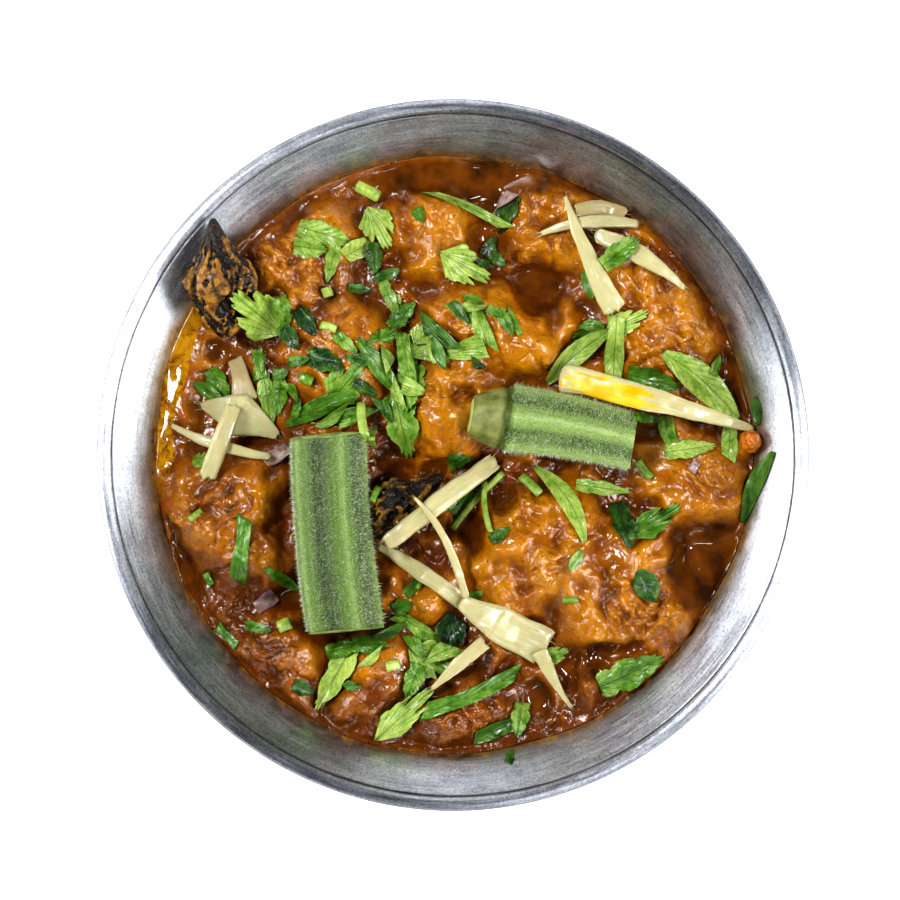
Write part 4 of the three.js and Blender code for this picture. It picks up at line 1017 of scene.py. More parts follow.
# Husk: near black, with clinging sauce where coat and grit are high, and darker in the wrinkles.
def podFinish():
    husk = Finish("cardamomHusk", **{"Roughness": 0.22, "Coat Weight": 0.15, "Coat Roughness": 0.08,
                                     "Specular IOR Level": 0.3})
    coat, wrinkle = husk.value("coat"), husk.value("wrinkle")
    grit = husk.noise(0.7, detail=4.0, rough=0.7)
    knob = husk.noise(1.9, detail=4.0, rough=0.65, warp=0.7)
    colour = husk.tint(ink(10, 6, 3), ink(84, 58, 26), grit, 0.5, 0.7)
    sauce = husk.tint(ink(84, 50, 8), ink(206, 146, 46), knob, 0.34, 0.64)
    sauce = husk.tint(sauce, ink(34, 20, 6), grit, 0.5, 0.68, 0.85)
    clinging = husk.plus(coat, husk.ramp(grit, 0.3, 0.7, -0.55, 0.45))
    colour = husk.tint(colour, sauce, clinging, 0.24, 0.72)
    husk.use("Base Color", husk.tint(colour, ink(6, 3, 1), wrinkle, 0.55, 1.0, 0.8))
    husk.use("Roughness", husk.ramp(grit, 0.3, 0.7, 0.1, 0.34))
    rugged = husk.bump(knob, 0.7, 0.9)
    husk.use("Normal", husk.bump(grit, 0.3, 0.9, rugged))
    return husk.material


huskMaterial = podFinish()
for name, pod in pods.items():
    part = podPart(pod)
    makePiece(name + ".husk", [part], huskMaterial, [name])
    raiseMap(topMap, part["points"])
print("cardamom made")


# Coriander.
leaf = {
    "mesh": (24, 41),  # points along and across
    "scrapMesh": (20, 31),
    "sheet": 0.28,
    "gap": 0.12,
    "taut": 26,
    "quilt": 0.09,  # height of the swelling between the veins, and depth of the middle vein
    "vein": 0.12,
}

# x, y, heading, length, width, outline, sideways bend, tone from 0 dark to 1 pale. One list is one sprig.
sprigs = {
    "coriander_01": [(-45.2, 32.6, 140, 14, 12, "fan", 0, .88), (-39.8, 33.5, -80, 8, 4.6, "lobed", 0, .60),
                     (-38.6, 28, -50, 6, 4, "lobed", 0, .45)],
    "coriander_02": [(-43.8, 12.9, -82, 13.6, 4.2, "lobed", 0, .70),
                     (-41, 13.8, -96, 8, 4.4, "lobed", 0, .53)],
    "coriander_03": [(-30, 51.5, -18, 13, 6, "lobed", 0, .74), (-22.4, 48.2, 30, 7, 4.6, "strip", 0, .97),
                     (-28.4, 45, -105, 8.5, 3.6, "lobed", 0, .74),
                     (-33.6, 48.4, -8, 7.4, 5.6, "lobed", 0, .72)],
    "coriander_04": [(-17.6, 53.7, -62, 11.5, 8.5, "fan", 0, .88),
                     (-18.6, 46.4, -85, 7, 4.4, "lobed", 0, .26)],
    "coriander_05": [(2.6, 44.3, -28, 13.5, 9.6, "fan", 0, .86)],
    "coriander_06": [(-12, 7.4, -78, 14.5, 8.6, "lobed", 0, .63),
                     (-10.4, 16.2, -100, 11, 8, "lobed", 0, .65),
                     (-10.8, 23, -80, 12, 4.6, "lance", 0, .53), (-6.6, 26.4, 40, 10.5, 9, "fan", 0, .69),
                     (-17.4, 20.8, -54, 16, 4.4, "lance", 0, .48)],
    "coriander_07": [(-25.3, 16.4, 50, 12, 9.5, "fan", 0, .6), (-30, 22, -20, 8.5, 6, "lobed", 0, .15),
                     (-31.2, 10.6, 24, 18, 4.6, "lance", .6, .4)],
    "coriander_08": [(3.4, 32.4, -48, 8, 4.6, "cut", 0, .82), (6.6, 29.8, -72, 9, 4.8, "cut", 0, .72),
                     (2.8, 24.4, 12, 9.4, 5.8, "cut", 0, .8)],
    "coriander_09": [(12.6, 57, -110, 9, 5, "lobed", 0, .18), (3.6, 57.6, -25, 20, 2.2, "strip", .8, .78)],
    "coriander_10": [(32.1, 29, 205, 8.5, 6, "fan", 0, .52), (40.4, 31, 25, 11, 6, "fan", 0, .94),
                     (29.4, 23, 40, 19, 5.2, "lance", .8, .80), (38, 25.6, -92, 14, 4.6, "strip", 0, .84)],
    "coriander_11": [(46.9, 17.4, -15, 12, 6, "lobed", 0, .38)],
    "coriander_12": [(58.1, 16.2, -41, 23.5, 7.6, "lance", 1.2, .82),
                     (65, 4.6, -95, 11, 3.8, "strip", 0, .71)],
    "coriander_13": [(51.2, 5.6, -75, 8.6, 3.8, "strip", -.8, .60),
                     (55.2, 1.4, 8, 11.5, 4.6, "lobed", 0, .85)],
    "coriander_14": [(71.4, -7.6, -112, 18, 3.8, "lance", -.8, .34)],
    "coriander_15": [(25, -11.6, -57, 21, 4.6, "lance", 2.2, .84)],
    "coriander_16": [(35.1, -7.8, -8, 12.5, 3.8, "lobed", 0, .77)],
    "coriander_17": [(47, -15.6, 33, 14.5, 6.4, "fan", 0, .48),
                     (40, -16.2, -75, 10.5, 5.4, "lobed", 0, .12)],
    "coriander_18": [(-49.7, -22, -97, 15, 4, "strip", .5, .42)],
    "coriander_19": [(-27.4, -51.6, -120, 17, 6.2, "lobed", 0, .93),
                     (-25.6, -45.4, 14, 9, 4, "lobed", 0, .45), (-19.6, -44.4, 0, 8, 4.4, "lobed", 0, .39)],
    "coriander_20": [(-9, -41.4, -38, 12, 3.8, "strip", 1, .62), (-.4, -42, -84, 10.5, 8, "fan", 0, .06),
                     (-5.4, -48.4, -32, 12.5, 9.6, "fan", 0, .7),
                     (-9.3, -53, -110, 8.5, 5, "lobed", 0, .55)],
    "coriander_21": [(-11.9, -61.4, 42, 19, 7.4, "fan", 0, .90),
                     (4.2, -55.8, 22, 24, 3.8, "strip", -.6, .46)],
    "coriander_22": [(41.5, -51.3, 25, 15.5, 8, "lobed", 0, .52)],
    "coriander_23": [(10, -65, 20, 10.5, 3.8, "strip", 0, .3),
                     (15.8, -62.2, -100, 7.5, 4.8, "lobed", 0, .62)],
    "coriander_24": [(-55.3, 16.6, -60, 8.5, 5, "lobed", 0, .5), (-57.8, 15, -30, 8, 3.4, "lance", 0, .4)],
    "coriander_25": [(39.1, 47.4, 38, 11, 5.4, "lobed", 0, .6)],
}


# Rests a grid on the map and pulls it taut: a point rises to its neighbours' mean and never sinks.
def drape(x, y, rounds):
    height = lookUp(topMap, x, y)
    for _ in range(rounds):
        height[1:-1] = np.maximum(height[1:-1], (height[:-2] + height[2:]) / 2)
        height[:, 1:-1] = np.maximum(height[:, 1:-1], (height[:, :-2] + height[:, 2:]) / 2)
    return height


# Teeth along an edge: rounded, from 0 in the notches to 1 at the tips.
def teeth(value, count, phase):
    return np.abs(np.sin(math.pi * count * value + phase)) ** 0.7


# Outlines of a leaf: where the point at u across and v along lies, in shares of half width and length.
def fanOutline(u, v, phase):
    notch = 0.3 * np.exp(-(((np.abs(u + 0.06 * math.sin(phase)) - 0.4) / 0.07) ** 2))
    edge = 1 - notch - 0.13 * (1 - teeth(u, 5.5, phase))
    reach = v ** 0.9 * (1 - (1 - edge) * v ** 3)
    across = reach * np.sin(1.22 * u) / math.sin(1.22)
    return across, reach * np.cos(1.22 * u) * (1 - 0.1 * u ** 2) - 0.48, 4.6 * u


# Rounded lobes down both sides.
def lobedOutline(u, v, phase):
    half = (0.42 + 0.58 * np.sin(math.pi * np.clip(v * 0.98 + 0.1, 0, 1)) ** 0.6)
    half = half * (0.66 + 0.34 * np.abs(np.sin(math.pi * 2.3 * v + phase * 0.4)) ** 0.5)
    half = half * (0.9 + 0.1 * teeth(v, 8.5, phase))
    end = 0.09 * teeth(u, 1.6, phase) * v ** 4 - 0.12 * np.abs(u) ** 1.5 * v ** 3
    return u * half, v - 0.5 + end, 6.5 * v - 2.2 * np.abs(u)


# A long oval with fine teeth.
def lanceOutline(u, v, phase):
    half = (0.08 + 0.92 * np.sin(math.pi * (0.04 + 0.92 * v)) ** 0.85) * (0.95 + 0.05 * teeth(v, 9.0, phase))
    return u * half, v - 0.5 + 0 * u, 8.0 * v - 2.6 * np.abs(u)


# A piece of leaf between two slanted cuts.
def cutOutline(u, v, phase):
    half = 0.62 + 0.38 * math.sin(phase) * (2 * v - 1) + 0.18 * np.sin(math.pi * v)
    slant = 0.24 * math.sin(2.3 * phase + 1) * u * (2 * v - 1) + 0.12 * math.sin(3.1 * phase) * u
    return u * half, v - 0.5 + slant, 3.4 * u + 1.8 * v


# A strip of even width.
def stripOutline(u, v, phase):
    half = 0.9 + 0.1 * np.sin(7 * v + phase)
    return u * half, v - 0.5 + 0.09 * math.sin(3 * phase) * u, 5.0 * v - 1.4 * np.abs(u)


outlineOf = {"fan": fanOutline, "lobed": lobedOutline, "lance": lanceOutline, "strip": stripOutline,
             "cut": cutOutline}


# A leaf: its outline laid out flat, turned to its heading, draped on what lies under it, then quilted between
# the veins and curled at its edge and tip.
def leafPart(x, y, heading, length, width, outline, bend, tone, seed, mesh=leaf["mesh"]):
    random = np.random.default_rng(seed)
    phase = random.uniform(0, 6)
    v = np.linspace(0, 1, mesh[0])[:, None]
    u = np.linspace(-1, 1, mesh[1])[None]
    across, along, vein = outlineOf[outline](u + 0 * v, v + 0 * u, phase)
    across = across * width / 2 + bend * 4 * v * (1 - v)
    along = along * length
    angle = math.radians(heading)
    flatX = x + along * math.cos(angle) - across * math.sin(angle)
    flatY = y + along * math.sin(angle) + across * math.cos(angle)
    rest = drape(flatX, flatY, leaf["taut"])
    curl = random.uniform(-0.4, 0.8) * width / 10 * (np.abs(u) ** 2.5)
    curl = curl + random.uniform(0.0, 0.8) * ease(v, 0.5, 1.0) ** 2 * length / 14
    curl = curl + random.uniform(-0.3, 0.3) * np.sin(2.6 * v + 1.9 * u + phase) * width / 6
    quilt = leaf["quilt"] * np.cos(2 * math.pi * vein) * (1 - u ** 4)
    quilt = quilt - leaf["vein"] * np.exp(-((u / 0.09) ** 2))
    fold = random.uniform(0.02, 0.16) * width * np.abs(u + random.uniform(-0.3, 0.3))
    lift = curl + quilt + fold - random.uniform(0, 0.05) * width
    lift = 0.5 * (lift + np.sqrt(lift ** 2 + 0.12)) - 0.1
    height = rest + leaf["gap"] + lift
    lower = np.stack([flatX, flatY, height], -1)
    upper = lower + [0, 0, leaf["sheet"]]
    raiseMap(topMap, upper)
    return closedSheet(upper, lower, u=u, v=v, vein=vein, tone=tone + 0 * v)


# Leaf: dark to light green by its tone, with the middle and side veins in another green and a paler underside.
def leafFinish():
    green = Finish("corianderLeaf", **{"Roughness": 0.3, "Specular IOR Level": 0.5, "Coat Weight": 0.2,
                                       "Subsurface Weight": 0.05, "Subsurface Scale": 0.0006,
                                       "Coat Roughness": 0.12})
    tone, u, vein, under = (green.value(key) for key in ("tone", "u", "vein", "under"))
    patch = green.noise(2.6, detail=3.0)
    fine = green.noise(0.8, detail=3.0, rough=0.65)
    tone = green.plus(tone, green.ramp(patch, 0.3, 0.7, -0.2, 0.2))
    colour = green.tint(ink(16, 54, 20), ink(92, 146, 26), tone, 0.05, 0.5)
    colour = green.tint(colour, ink(194, 218, 106), tone, 0.5, 1.0)
    nearVein = green.math("PINGPONG", vein, 0.5)
    side = green.ramp(nearVein, 0.0, 0.065, 1.0, 0.0)
    main = green.ramp(green.math("ABSOLUTE", u), 0.02, 0.07, 1.0, 0.0)
    veins = green.larger(green.times(side, 0.7), main)
    veinColour = green.tint(ink(10, 40, 12), ink(84, 130, 34), tone, 0.3, 0.7)
    colour = green.mix(green.times(veins, 0.75), colour, veinColour)
    colour = green.tint(colour, ink(40, 96, 18), fine, 0.52, 0.7, 0.5)
    green.use("Base Color", green.mix(green.times(under, 0.5), colour, ink(120, 158, 96)))
    green.use("Roughness", green.ramp(patch, 0.35, 0.65, 0.22, 0.45))
    lined = green.bump(veins, 0.16, 0.9)
    green.use("Normal", green.bump(fine, 0.14, 0.8, lined))
    return green.material


leafMaterial = leafFinish()


# A sprig is one mesh of its leaves, each laid on the one before.
def makeSprig(number, name):
    parts = [leafPart(*item, seed=100 + 10 * number + index) for index, item in enumerate(sprigs[name])]
    makePiece(name + ".sprig", parts, leafMaterial, [name])


for number, name in enumerate(sorted(sprigs)[:-1]):
    makeSprig(number, name)
print("coriander made")


# Chopped stems and small leaf scraps.
# Leaf scraps: x, y, heading, length, width, outline, tone.
scraps = [
    (-7.4, 28.6, 60, 6.6, 5.6, "fan", .85), (-3.6, 28.0, -40, 10, 5.0, "cut", .3),
    (-4.2, 24.6, -65, 7, 4.2, "cut", .85), (-11.2, 23.2, -80, 11.5, 3.8, "strip", .62),
    (-13.2, 14.2, -70, 5.2, 3.2, "cut", .8), (-9.2, 15.4, -20, 5.6, 4.4, "cut", .82),
    (-15.4, 23.0, -70, 5, 3.2, "cut", .75), (-14.4, 36.4, -50, 7, 4.2, "cut", .76),
    (5.2, 34.4, 0, 5.2, 2.6, "cut", .82), (9.8, 33.2, -15, 4.0, 2.8, "cut", .74),
    (14.2, 30.8, -62, 6.4, 2.4, "cut", .66), (5.8, 21.0, -30, 3.2, 2.6, "cut", .15),
    (-45.6, 20.4, -85, 5.2, 3.6, "cut", .6), (-41.0, 18.0, -75, 5, 3.4, "cut", .5),
    (-37.6, 14.8, -60, 4.6, 2.6, "cut", .6), (-22.8, 9.6, 20, 8.4, 4.6, "cut", .55),
    (-28.8, 8.2, 30, 7.2, 3.2, "cut", .62), (-15.8, 10.4, -60, 6, 3.0, "cut", .35),
    (-17.6, 27.4, 25, 5, 3, "cut", .5), (-22.6, 22.4, -10, 5.2, 3.4, "cut", .3),
    (-3.0, -46.6, 25, 7.2, 4.8, "cut", .8), (-8.6, -45.0, -60, 5.6, 3.4, "cut", .5),
    (-14.6, -41.6, 25, 6.2, 3.2, "cut", .3), (-19.0, -47.6, 40, 5.4, 2.6, "cut", .85),
    (-8.0, 56.2, -60, 3.6, 3.2, "lobed", .45), (-15.7, 42.4, 20, 7, 2.8, "lance", .35),
    (-22.0, 39.1, -5, 5.2, 2.6, "lobed", .3), (-14.8, 37.0, -65, 8.6, 3.2, "lobed", .62),
    (-12.0, 32.8, 45, 8, 4.4, "lobed", .45), (-25.1, 26.2, -40, 6.6, 3.2, "lobed", .6),
    (-15.2, 28.1, 30, 4.6, 4.0, "fan", .5), (-40.5, 19.0, 20, 3.8, 3.2, "lobed", .3),
    (-36.8, 11.0, 70, 4.2, 2.4, "lobed", .4), (-45.7, 22.3, -80, 5.6, 3.4, "lobed", .5),
    (-34.4, 31.2, -55, 7.2, 4.6, "lobed", .1), (-38.0, 27.4, -60, 5.6, 4.2, "lobed", .12),
    (-59.5, -1.2, 50, 4.6, 3.8, "fan", .72), (8.7, 49.2, 60, 5.0, 3.4, "lobed", .12),
    (10.6, 46.2, -40, 4.2, 3.2, "lobed", .3), (7.6, 45.0, -20, 4.8, 2.8, "fan", .12),
    (1.4, 33.3, -50, 6.2, 3.0, "lobed", .3), (12.2, 31.0, -60, 6.4, 3.2, "lobed", .5),
    (4.7, 36.3, -15, 4.4, 2.4, "lobed", .55), (9.6, 33.4, -30, 3.6, 2.6, "lobed", .62),
    (31.6, 39.8, -70, 7, 2.4, "lance", .4), (71.2, 10.3, -85, 6.8, 2.2, "lance", .2),
    (45.2, 8.7, -10, 7.2, 2.8, "lobed", .35), (-40.0, -29.3, -36, 9.8, 2.8, "lance", .45),
    (-53.2, -42.6, -45, 6.6, 2.2, "strip", .4), (-45.9, -40.5, -10, 6.2, 2.8, "lobed", .45),
    (-35.1, -54.8, -30, 4.8, 4.2, "lobed", .2), (-23.7, -54.1, -8, 5.2, 2.6, "fan", .35),
    (-9.1, -30.7, 45, 6.2, 2.8, "lobed", .35), (-11.9, -35.6, 20, 4.8, 4.2, "lobed", .3),
    (4.0, -8.2, 50, 14, 5.0, "lobed", .4), (1.4, -1.4, 10, 5.2, 4.2, "lobed", .2),
    (10.8, -18.5, 35, 5.2, 3.2, "lobed", .3), (28.6, -24.6, 60, 5.6, 2.8, "lance", .6),
    (45.2, -30.5, -60, 8.4, 6.2, "lance", .2), (24.4, -47.1, 20, 6.2, 4.4, "fan", .66),
    (13.4, -70.8, 70, 3.0, 2.4, "lobed", .2), (-3.4, 23.8, -70, 8.0, 3.0, "lance", .35),
    (-20.6, 15.6, -30, 6.0, 3.2, "lobed", .2), (-36.2, 22.0, 10, 5.0, 3.0, "lobed", .35),
    (5.2, -33.0, 25, 4.0, 2.6, "lobed", .5), (62.0, 21.0, 70, 5.0, 2.6, "lobed", .5),
]
# Stem cuts: start, end, radius, tone.
stems = [
    ((-22.7, 63.5), (-17.3, 60.7), 1.35, .95), ((-29.9, 39.2), (-29.2, 37.0), 1.2, .9),
    ((-31.0, 30.4), (-27.2, 29.2), 1.0, .85), ((-35.8, 18.4), (-32.8, 17.0), 1.3, .55),
    ((-21.6, 12.4), (-19.9, 3.0), 1.1, .82), ((-18.5, 7.0), (-18.7, 1.4), .8, .78),
    ((-61.6, -15.2), (-58.8, -12.9), .75, .7), ((-40.9, -40.4), (-37.9, -39.3), 1.4, .85),
    ((-15.6, -49.6), (-12.4, -48.9), 1.2, .85), ((15.9, -4.9), (20.4, -9.1), 1.15, .66),
    ((11.9, -4.2), (-.2, -17.6), .85, .75), ((7.5, -5.9), (8.7, -18.0), .7, .8),
    ((43.3, -1.4), (46.4, -5.4), .9, .6), ((25.6, -34.0), (29.3, -34.0), .7, .6),
    ((-8.6, -31.2), (-5.0, -27.8), .6, .5), ((-18.9, -10.8), (-17.2, -7.4), .9, .6),
    ((-58.2, -27.8), (-56.8, -30.6), .9, .5),
]


stemShape = {
    "stations": 16,
    "around": 18,
    "bow": 0.06,
    "waist": 0.16,
    "ribs": 0.07,
    "pith": 0.55,
    "pithDepth": 0.35,
}


# A stem cut: rings along a short bowed line over the map, drawn in at both cut ends, with a sunken pith.
def stemPart(start, end, radius, tone, seed):
    start, end = np.array(start), np.array(end)
    share = np.linspace(0, 1, stemShape["stations"])
    length = np.linalg.norm(end - start)
    along = (end - start) / length
    side = np.array([-along[1], along[0]])
    bow = stemShape["bow"] * length * np.sin(math.pi * share) * math.sin(seed)
    flat = start + (end - start) * share[:, None] + side * bow[:, None]
    base = drape(flat[:, :1] + np.zeros((1, 3)), flat[:, 1:] + np.zeros((1, 3)), 60)[:, 1]
    angle = np.linspace(0, 2 * math.pi, stemShape["around"], endpoint=False)
    narrow = 1 - stemShape["waist"] * np.exp(-(((share - 0.5) ** 2 - 0.25) / 0.03) ** 2)
    reach = radius * narrow[:, None] * (1 + stemShape["ribs"] * np.cos(4 * angle + seed))[None]
    sideways = reach * np.cos(angle)
    height = base[:, None] + radius * 0.95 + reach * np.sin(angle)
    grid = np.stack([flat[:, :1] + side[0] * sideways, flat[:, 1:] + side[1] * sideways, height], -1)
    raiseMap(topMap, grid)
    inward = stemShape["pithDepth"] * np.array([*along, 0])
    inner = [ring.mean(0) + (ring - ring.mean(0)) * stemShape["pith"] + sign * inward
             for ring, sign in ((grid[0], 1), (grid[-1], -1))]
    grid = np.concatenate([inner[0][None], grid, inner[1][None]])
    vein = np.linspace(0, 0.4, stemShape["around"])[None] + 0.25
    return closedRings(grid, inner[0].mean(0), inner[1].mean(0), tone=tone, u=0.5, vein=vein)


# Leaf parts of a table whose rows have no bend.
def strewn(rows, firstSeed, mesh):
    return [leafPart(*row[:6], 0, row[6], firstSeed + index, mesh) for index, row in enumerate(rows)]


makePiece("corianderScraps", strewn(scraps, 500, leaf["scrapMesh"]), leafMaterial)
# Bits of cooked onion, glassy and lilac at their edges: x, y, heading, length, width, outline, tone.
onionBits = [
    (-41.4, 0.0, 30, 6.6, 3.6, "strip", .9), (-44.2, -34.6, 35, 5.6, 3.8, "strip", .3),
    (12.2, 60.2, 40, 5.2, 3.0, "cut", .6), (56.4, -2.6, 60, 3.0, 2.2, "strip", .5),
]


# Onion: cloudy pink to brown, violet at its edges and stained by the sauce at one end.
def onionFinish():
    onion = Finish("cookedOnion", **{"Roughness": 0.16, "Coat Weight": 0.4, "Coat Roughness": 0.05,
                                     "Subsurface Weight": 0.3, "Subsurface Scale": 0.0015})
    tone, u, v = onion.value("tone"), onion.value("u"), onion.value("v")
    cloudy = onion.ramp(onion.noise(2.0, detail=3.0), 0.35, 0.65)
    colour = onion.mix(cloudy, ink(150, 112, 92), ink(214, 194, 186))
    colour = onion.mix(onion.ramp(tone, 0.2, 0.8, 0.6, 0.0), colour, ink(112, 84, 88))
    edged = onion.ramp(onion.math("ABSOLUTE", u), 0.55, 0.95, 0.0, 0.8)
    colour = onion.mix(edged, colour, ink(168, 128, 150))
    onion.use("Base Color", onion.mix(onion.ramp(v, 0.0, 0.4, 0.5, 0.0), colour, ink(150, 92, 30)))
    onion.use("Normal", onion.bump(onion.noise(0.9), 0.12, 0.8))
    return onion.material


makePiece("onionBits", strewn(onionBits, 620, leaf["mesh"]), onionFinish())
stemParts = [stemPart(*stem, index) for index, stem in enumerate(stems)]
makePiece("corianderStems", stemParts, leafMaterial)
print("scraps made")


# Ginger.
# Shreds: middle line at start, middle and end, widths there, thickness, and loose fibres at start and end.
ginger = {
    "ginger_01": [([(-51.6, 22.6), (-50, 18), (-49, 13)], (3.6, 4.4, 6.2), 1.0, 2, 3, .4)],
    "ginger_02": [([(-59.6, 11.8), (-50.4, 9.4), (-41.4, 4.2)], (1.6, 10, 1.8), .8, 7, 6, 0)],
    "ginger_03": [([(-66.4, 7), (-55.3, 2.3), (-42.6, -.4)], (1.1, 3, 1.5), 1.3, 3, 4, 0)],
    "ginger_04": [([(-51.3, 11.7), (-54.4, 3), (-57.6, -5.4)], (3.6, 4.1, 3.9), 2.0, 1, 3, 0)],
    "ginger_05": [([(28.6, 56.8), (34.6, 57.6), (40.6, 56.6)], (3.2, 4.2, 2.8), 1.5, 2, 4, .35),
                  ([(20.6, 51.8), (32.6, 54.6), (43.6, 54.2)], (1.2, 3.2, 2), 1.5, 4, 3, 0)],
    "ginger_06": [([(33.4, 51.4), (43.8, 46.4), (54.2, 38.6)], (3.6, 4.4, 1.1), 1.8, 2, 2, 0)],
    "ginger_07": [([(26.2, 60.4), (30.8, 47.4), (38, 33.8)], (.9, 3.6, 5.6), 1.5, 1, 2, 0)],
    "ginger_08": [([(25, 18.3), (46.2, 12.9), (70.6, 6)], (6.6, 5.6, 1.8), 2.4, 0, 1, 0)],
    "ginger_09": [([(10.6, -1.2), (-3, -11), (-15.2, -20.6)], (4.2, 4.6, 3.6), 2.5, 4, 3, 0)],
    "ginger_10": [([(-17.6, -21.6), (-9, -26.4), (3, -35.4)], (1.8, 3.6, 4), 1.7, 4, 0, 0),
                  ([(1.8, -34.4), (10.8, -39.6), (22, -45.8)], (3.4, 8.2, 8.8), 1.8, 0, 3, 0),
                  ([(20.4, -46), (24, -53.4), (28, -59.6)], (4, 2.2, .8), 1.3, 0, 3, 0)],
    "ginger_11": [([(-9.1, -9.8), (-1.6, -20), (3, -33.4)], (.9, 1.9, 2), 1.1, 1, 0, 0)],
    "ginger_12": [([(7.6, -43.8), (1.4, -49), (-5, -55)], (3.2, 3.4, .9), 1.1, 2, 5, 0)],
}
gingerShape = {
    "stations": 110,
    "around": 44,
    "gap": 0.1,
    "boxiness": 0.55,  # power of the section's sine and cosine: 1 is an oval, less is boxier
    "torn": 0.6,
    "tornShare": 0.88,  # where along the shred its ends begin to tear
    "sagRadius": 34.0,
    "edgeWaves": [(2.9, 0.18, 1), (0.9, 0.1, 4)],  # size, height and seed of the waves in its width, mm
    "fibreTall": (0.5, 2.4),
    "fibreRadius": (0.08, 0.2),
}


# A stiff stick on bumps: an arc that sags at its ends, moved and tilted till it rests on a bump on each side
# of its middle.
def restingArc(bumps, length):
    place = np.linspace(-length / 2, length / 2, len(bumps))
    sag = place ** 2 / (2 * gingerShape["sagRadius"])
    tilts = np.linspace(-0.6, 0.6, 241)[:, None]
    heights = (bumps + sag - tilts * place).max(1)
    best = heights.argmin()
    return heights[best] + tilts[best] * place - sag


# A shred: a boxy oval section carried along its line, held taut over what is under it, with fibres along it.
def shredPart(line, widths, thick, looseStart, looseEnd, brown, seed, yellow, stiff):
    share = np.linspace(0, 1, gingerShape["stations"])
    flat = throughThree(line, share)
    step = np.gradient(flat, axis=0)
    step /= np.linalg.norm(step, axis=1, keepdims=True)
    side = np.stack([-step[:, 1], step[:, 0]], -1)
    length = np.linalg.norm(np.subtract(line[2], line[0]))

    # Noise along the shred, one value a station.
    def alongNoise(size, extra):
        return softNoise(share * length, 0 * share, size, seed + extra)

    width = np.maximum(np.interp(share, [0, 0.5, 1], widths), 0.5)
    width = width * (1 + 0.05 * alongNoise(6.0, 0))
    width += sum(height * alongNoise(size, extra) for size, height, extra in gingerShape["edgeWaves"])
    places = flat[:, None] + side[:, None] * (np.linspace(-0.42, 0.42, 5)[None] * width[:, None])[..., None]
    base = lookUp(topMap, places[..., 0], places[..., 1]).max(1)
    for _ in range(400):
        base[1:-1] = np.maximum(base[1:-1], (base[:-2] + base[2:]) / 2)
    if stiff:
        base = restingArc(base, length)
    ends = np.minimum(1, np.minimum(share, 1 - share) / 0.035)
    closing = 0.35 + 0.65 * np.sqrt(1 - (1 - ends) ** 2)
    angle = np.linspace(0, 2 * math.pi, gingerShape["around"], endpoint=False)[None]
    power = gingerShape["boxiness"]
    cos, sin = np.cos(angle), np.sin(angle)
    alongMm = (share * length)[:, None]
    narrow = np.minimum(width, 4)[:, None]
    fibre = 1 + 0.05 * softNoise(angle * 7, alongMm / 9, 1.0, seed + 2)
    fibre = fibre + 0.03 * softNoise(angle * 19, alongMm / 6, 1.0, seed + 3)
    across = np.sign(cos) * np.abs(cos) ** power * (width * closing / 2)[:, None] * fibre
    halfThick = np.minimum(thick, width) / 2
    height = np.sign(sin) * np.abs(sin) ** power * (halfThick * (0.5 + 0.5 * closing))[:, None] * fibre
    across = across + 0.06 * narrow * softNoise(alongMm, 0 * alongMm, 5.0, seed + 6)
    height = height + 0.14 * thick * softNoise(alongMm, across, 3.0, seed + 7)
    torn = softNoise(across + seed, 0 * across, 0.8, seed + 9)
    torn = torn + 0.8 * softNoise(across + seed, 0 * across, 0.35, seed + 10)
    atEnds = sum(ease(toEnd, gingerShape["tornShare"], 1.0) * min(1, 0.25 + count / 4)
                 for toEnd, count in ((share, looseEnd), (1 - share, looseStart)))
    pulled = (torn * gingerShape["torn"] * narrow / 4) * atEnds[:, None]
    sideways = [flat[:, axis:axis + 1] + side[:, axis:axis + 1] * across + step[:, axis:axis + 1] * pulled
                for axis in (0, 1)]
    grid = np.stack([*sideways, (base + gingerShape["gap"] + halfThick)[:, None] + height], -1)
    raiseMap(topMap, grid)
    streak = 0.16 * softNoise(across * 2.2, alongMm / 4, 1.0, seed + 11)
    streaked = share[:, None] + streak
    patch = yellow * ease(streaked, 0.03, 0.08) * (1 - ease(streaked, 0.42, 0.56))
    patch = patch * (1 - ease(across / width[:, None] + streak, 0.22, 0.42))
    body = closedRings(grid, grid[0].mean(0), grid[-1].mean(0), strand=angle * 1.9 + 0 * alongMm,
                       alongShred=alongMm + 0 * angle, yellow=patch, brown=brown)
    # loose fibres stick out of the torn ends and lie down on the map
    random = np.random.default_rng(seed + 40)
    loose = []
    for count, index, outward in ((looseStart, 0, -1), (looseEnd, -1, 1)):
        if not count:
            continue
        offset = random.uniform(-0.42, 0.42, count) * width[index * 4 if index else 4]
        roots = grid[index].mean(0) + np.array([*side[index], 0]) * offset[:, None]
        heading = outward * step[index] + side[index] * random.normal(0, 0.2, count)[:, None]
        tall = random.uniform(*gingerShape["fibreTall"], count)[:, None]
        tips = roots + np.concatenate([heading * tall, random.uniform(-0.5, 0.1, (count, 1))], -1)
        tips[:, 2] = np.clip(lookUp(topMap, tips[:, 0], tips[:, 1]) + 0.1, tips[:, 2], roots[:, 2] + 0.5)
        back = roots - np.array([*(outward * step[index] * 1.2), 0])
        radius = random.uniform(*gingerShape["fibreRadius"], count)
        loose.append(spikes(back, tips, radius, strand=1.0, alongShred=0.0, yellow=0.0, brown=brown))
    return [body, *loose]


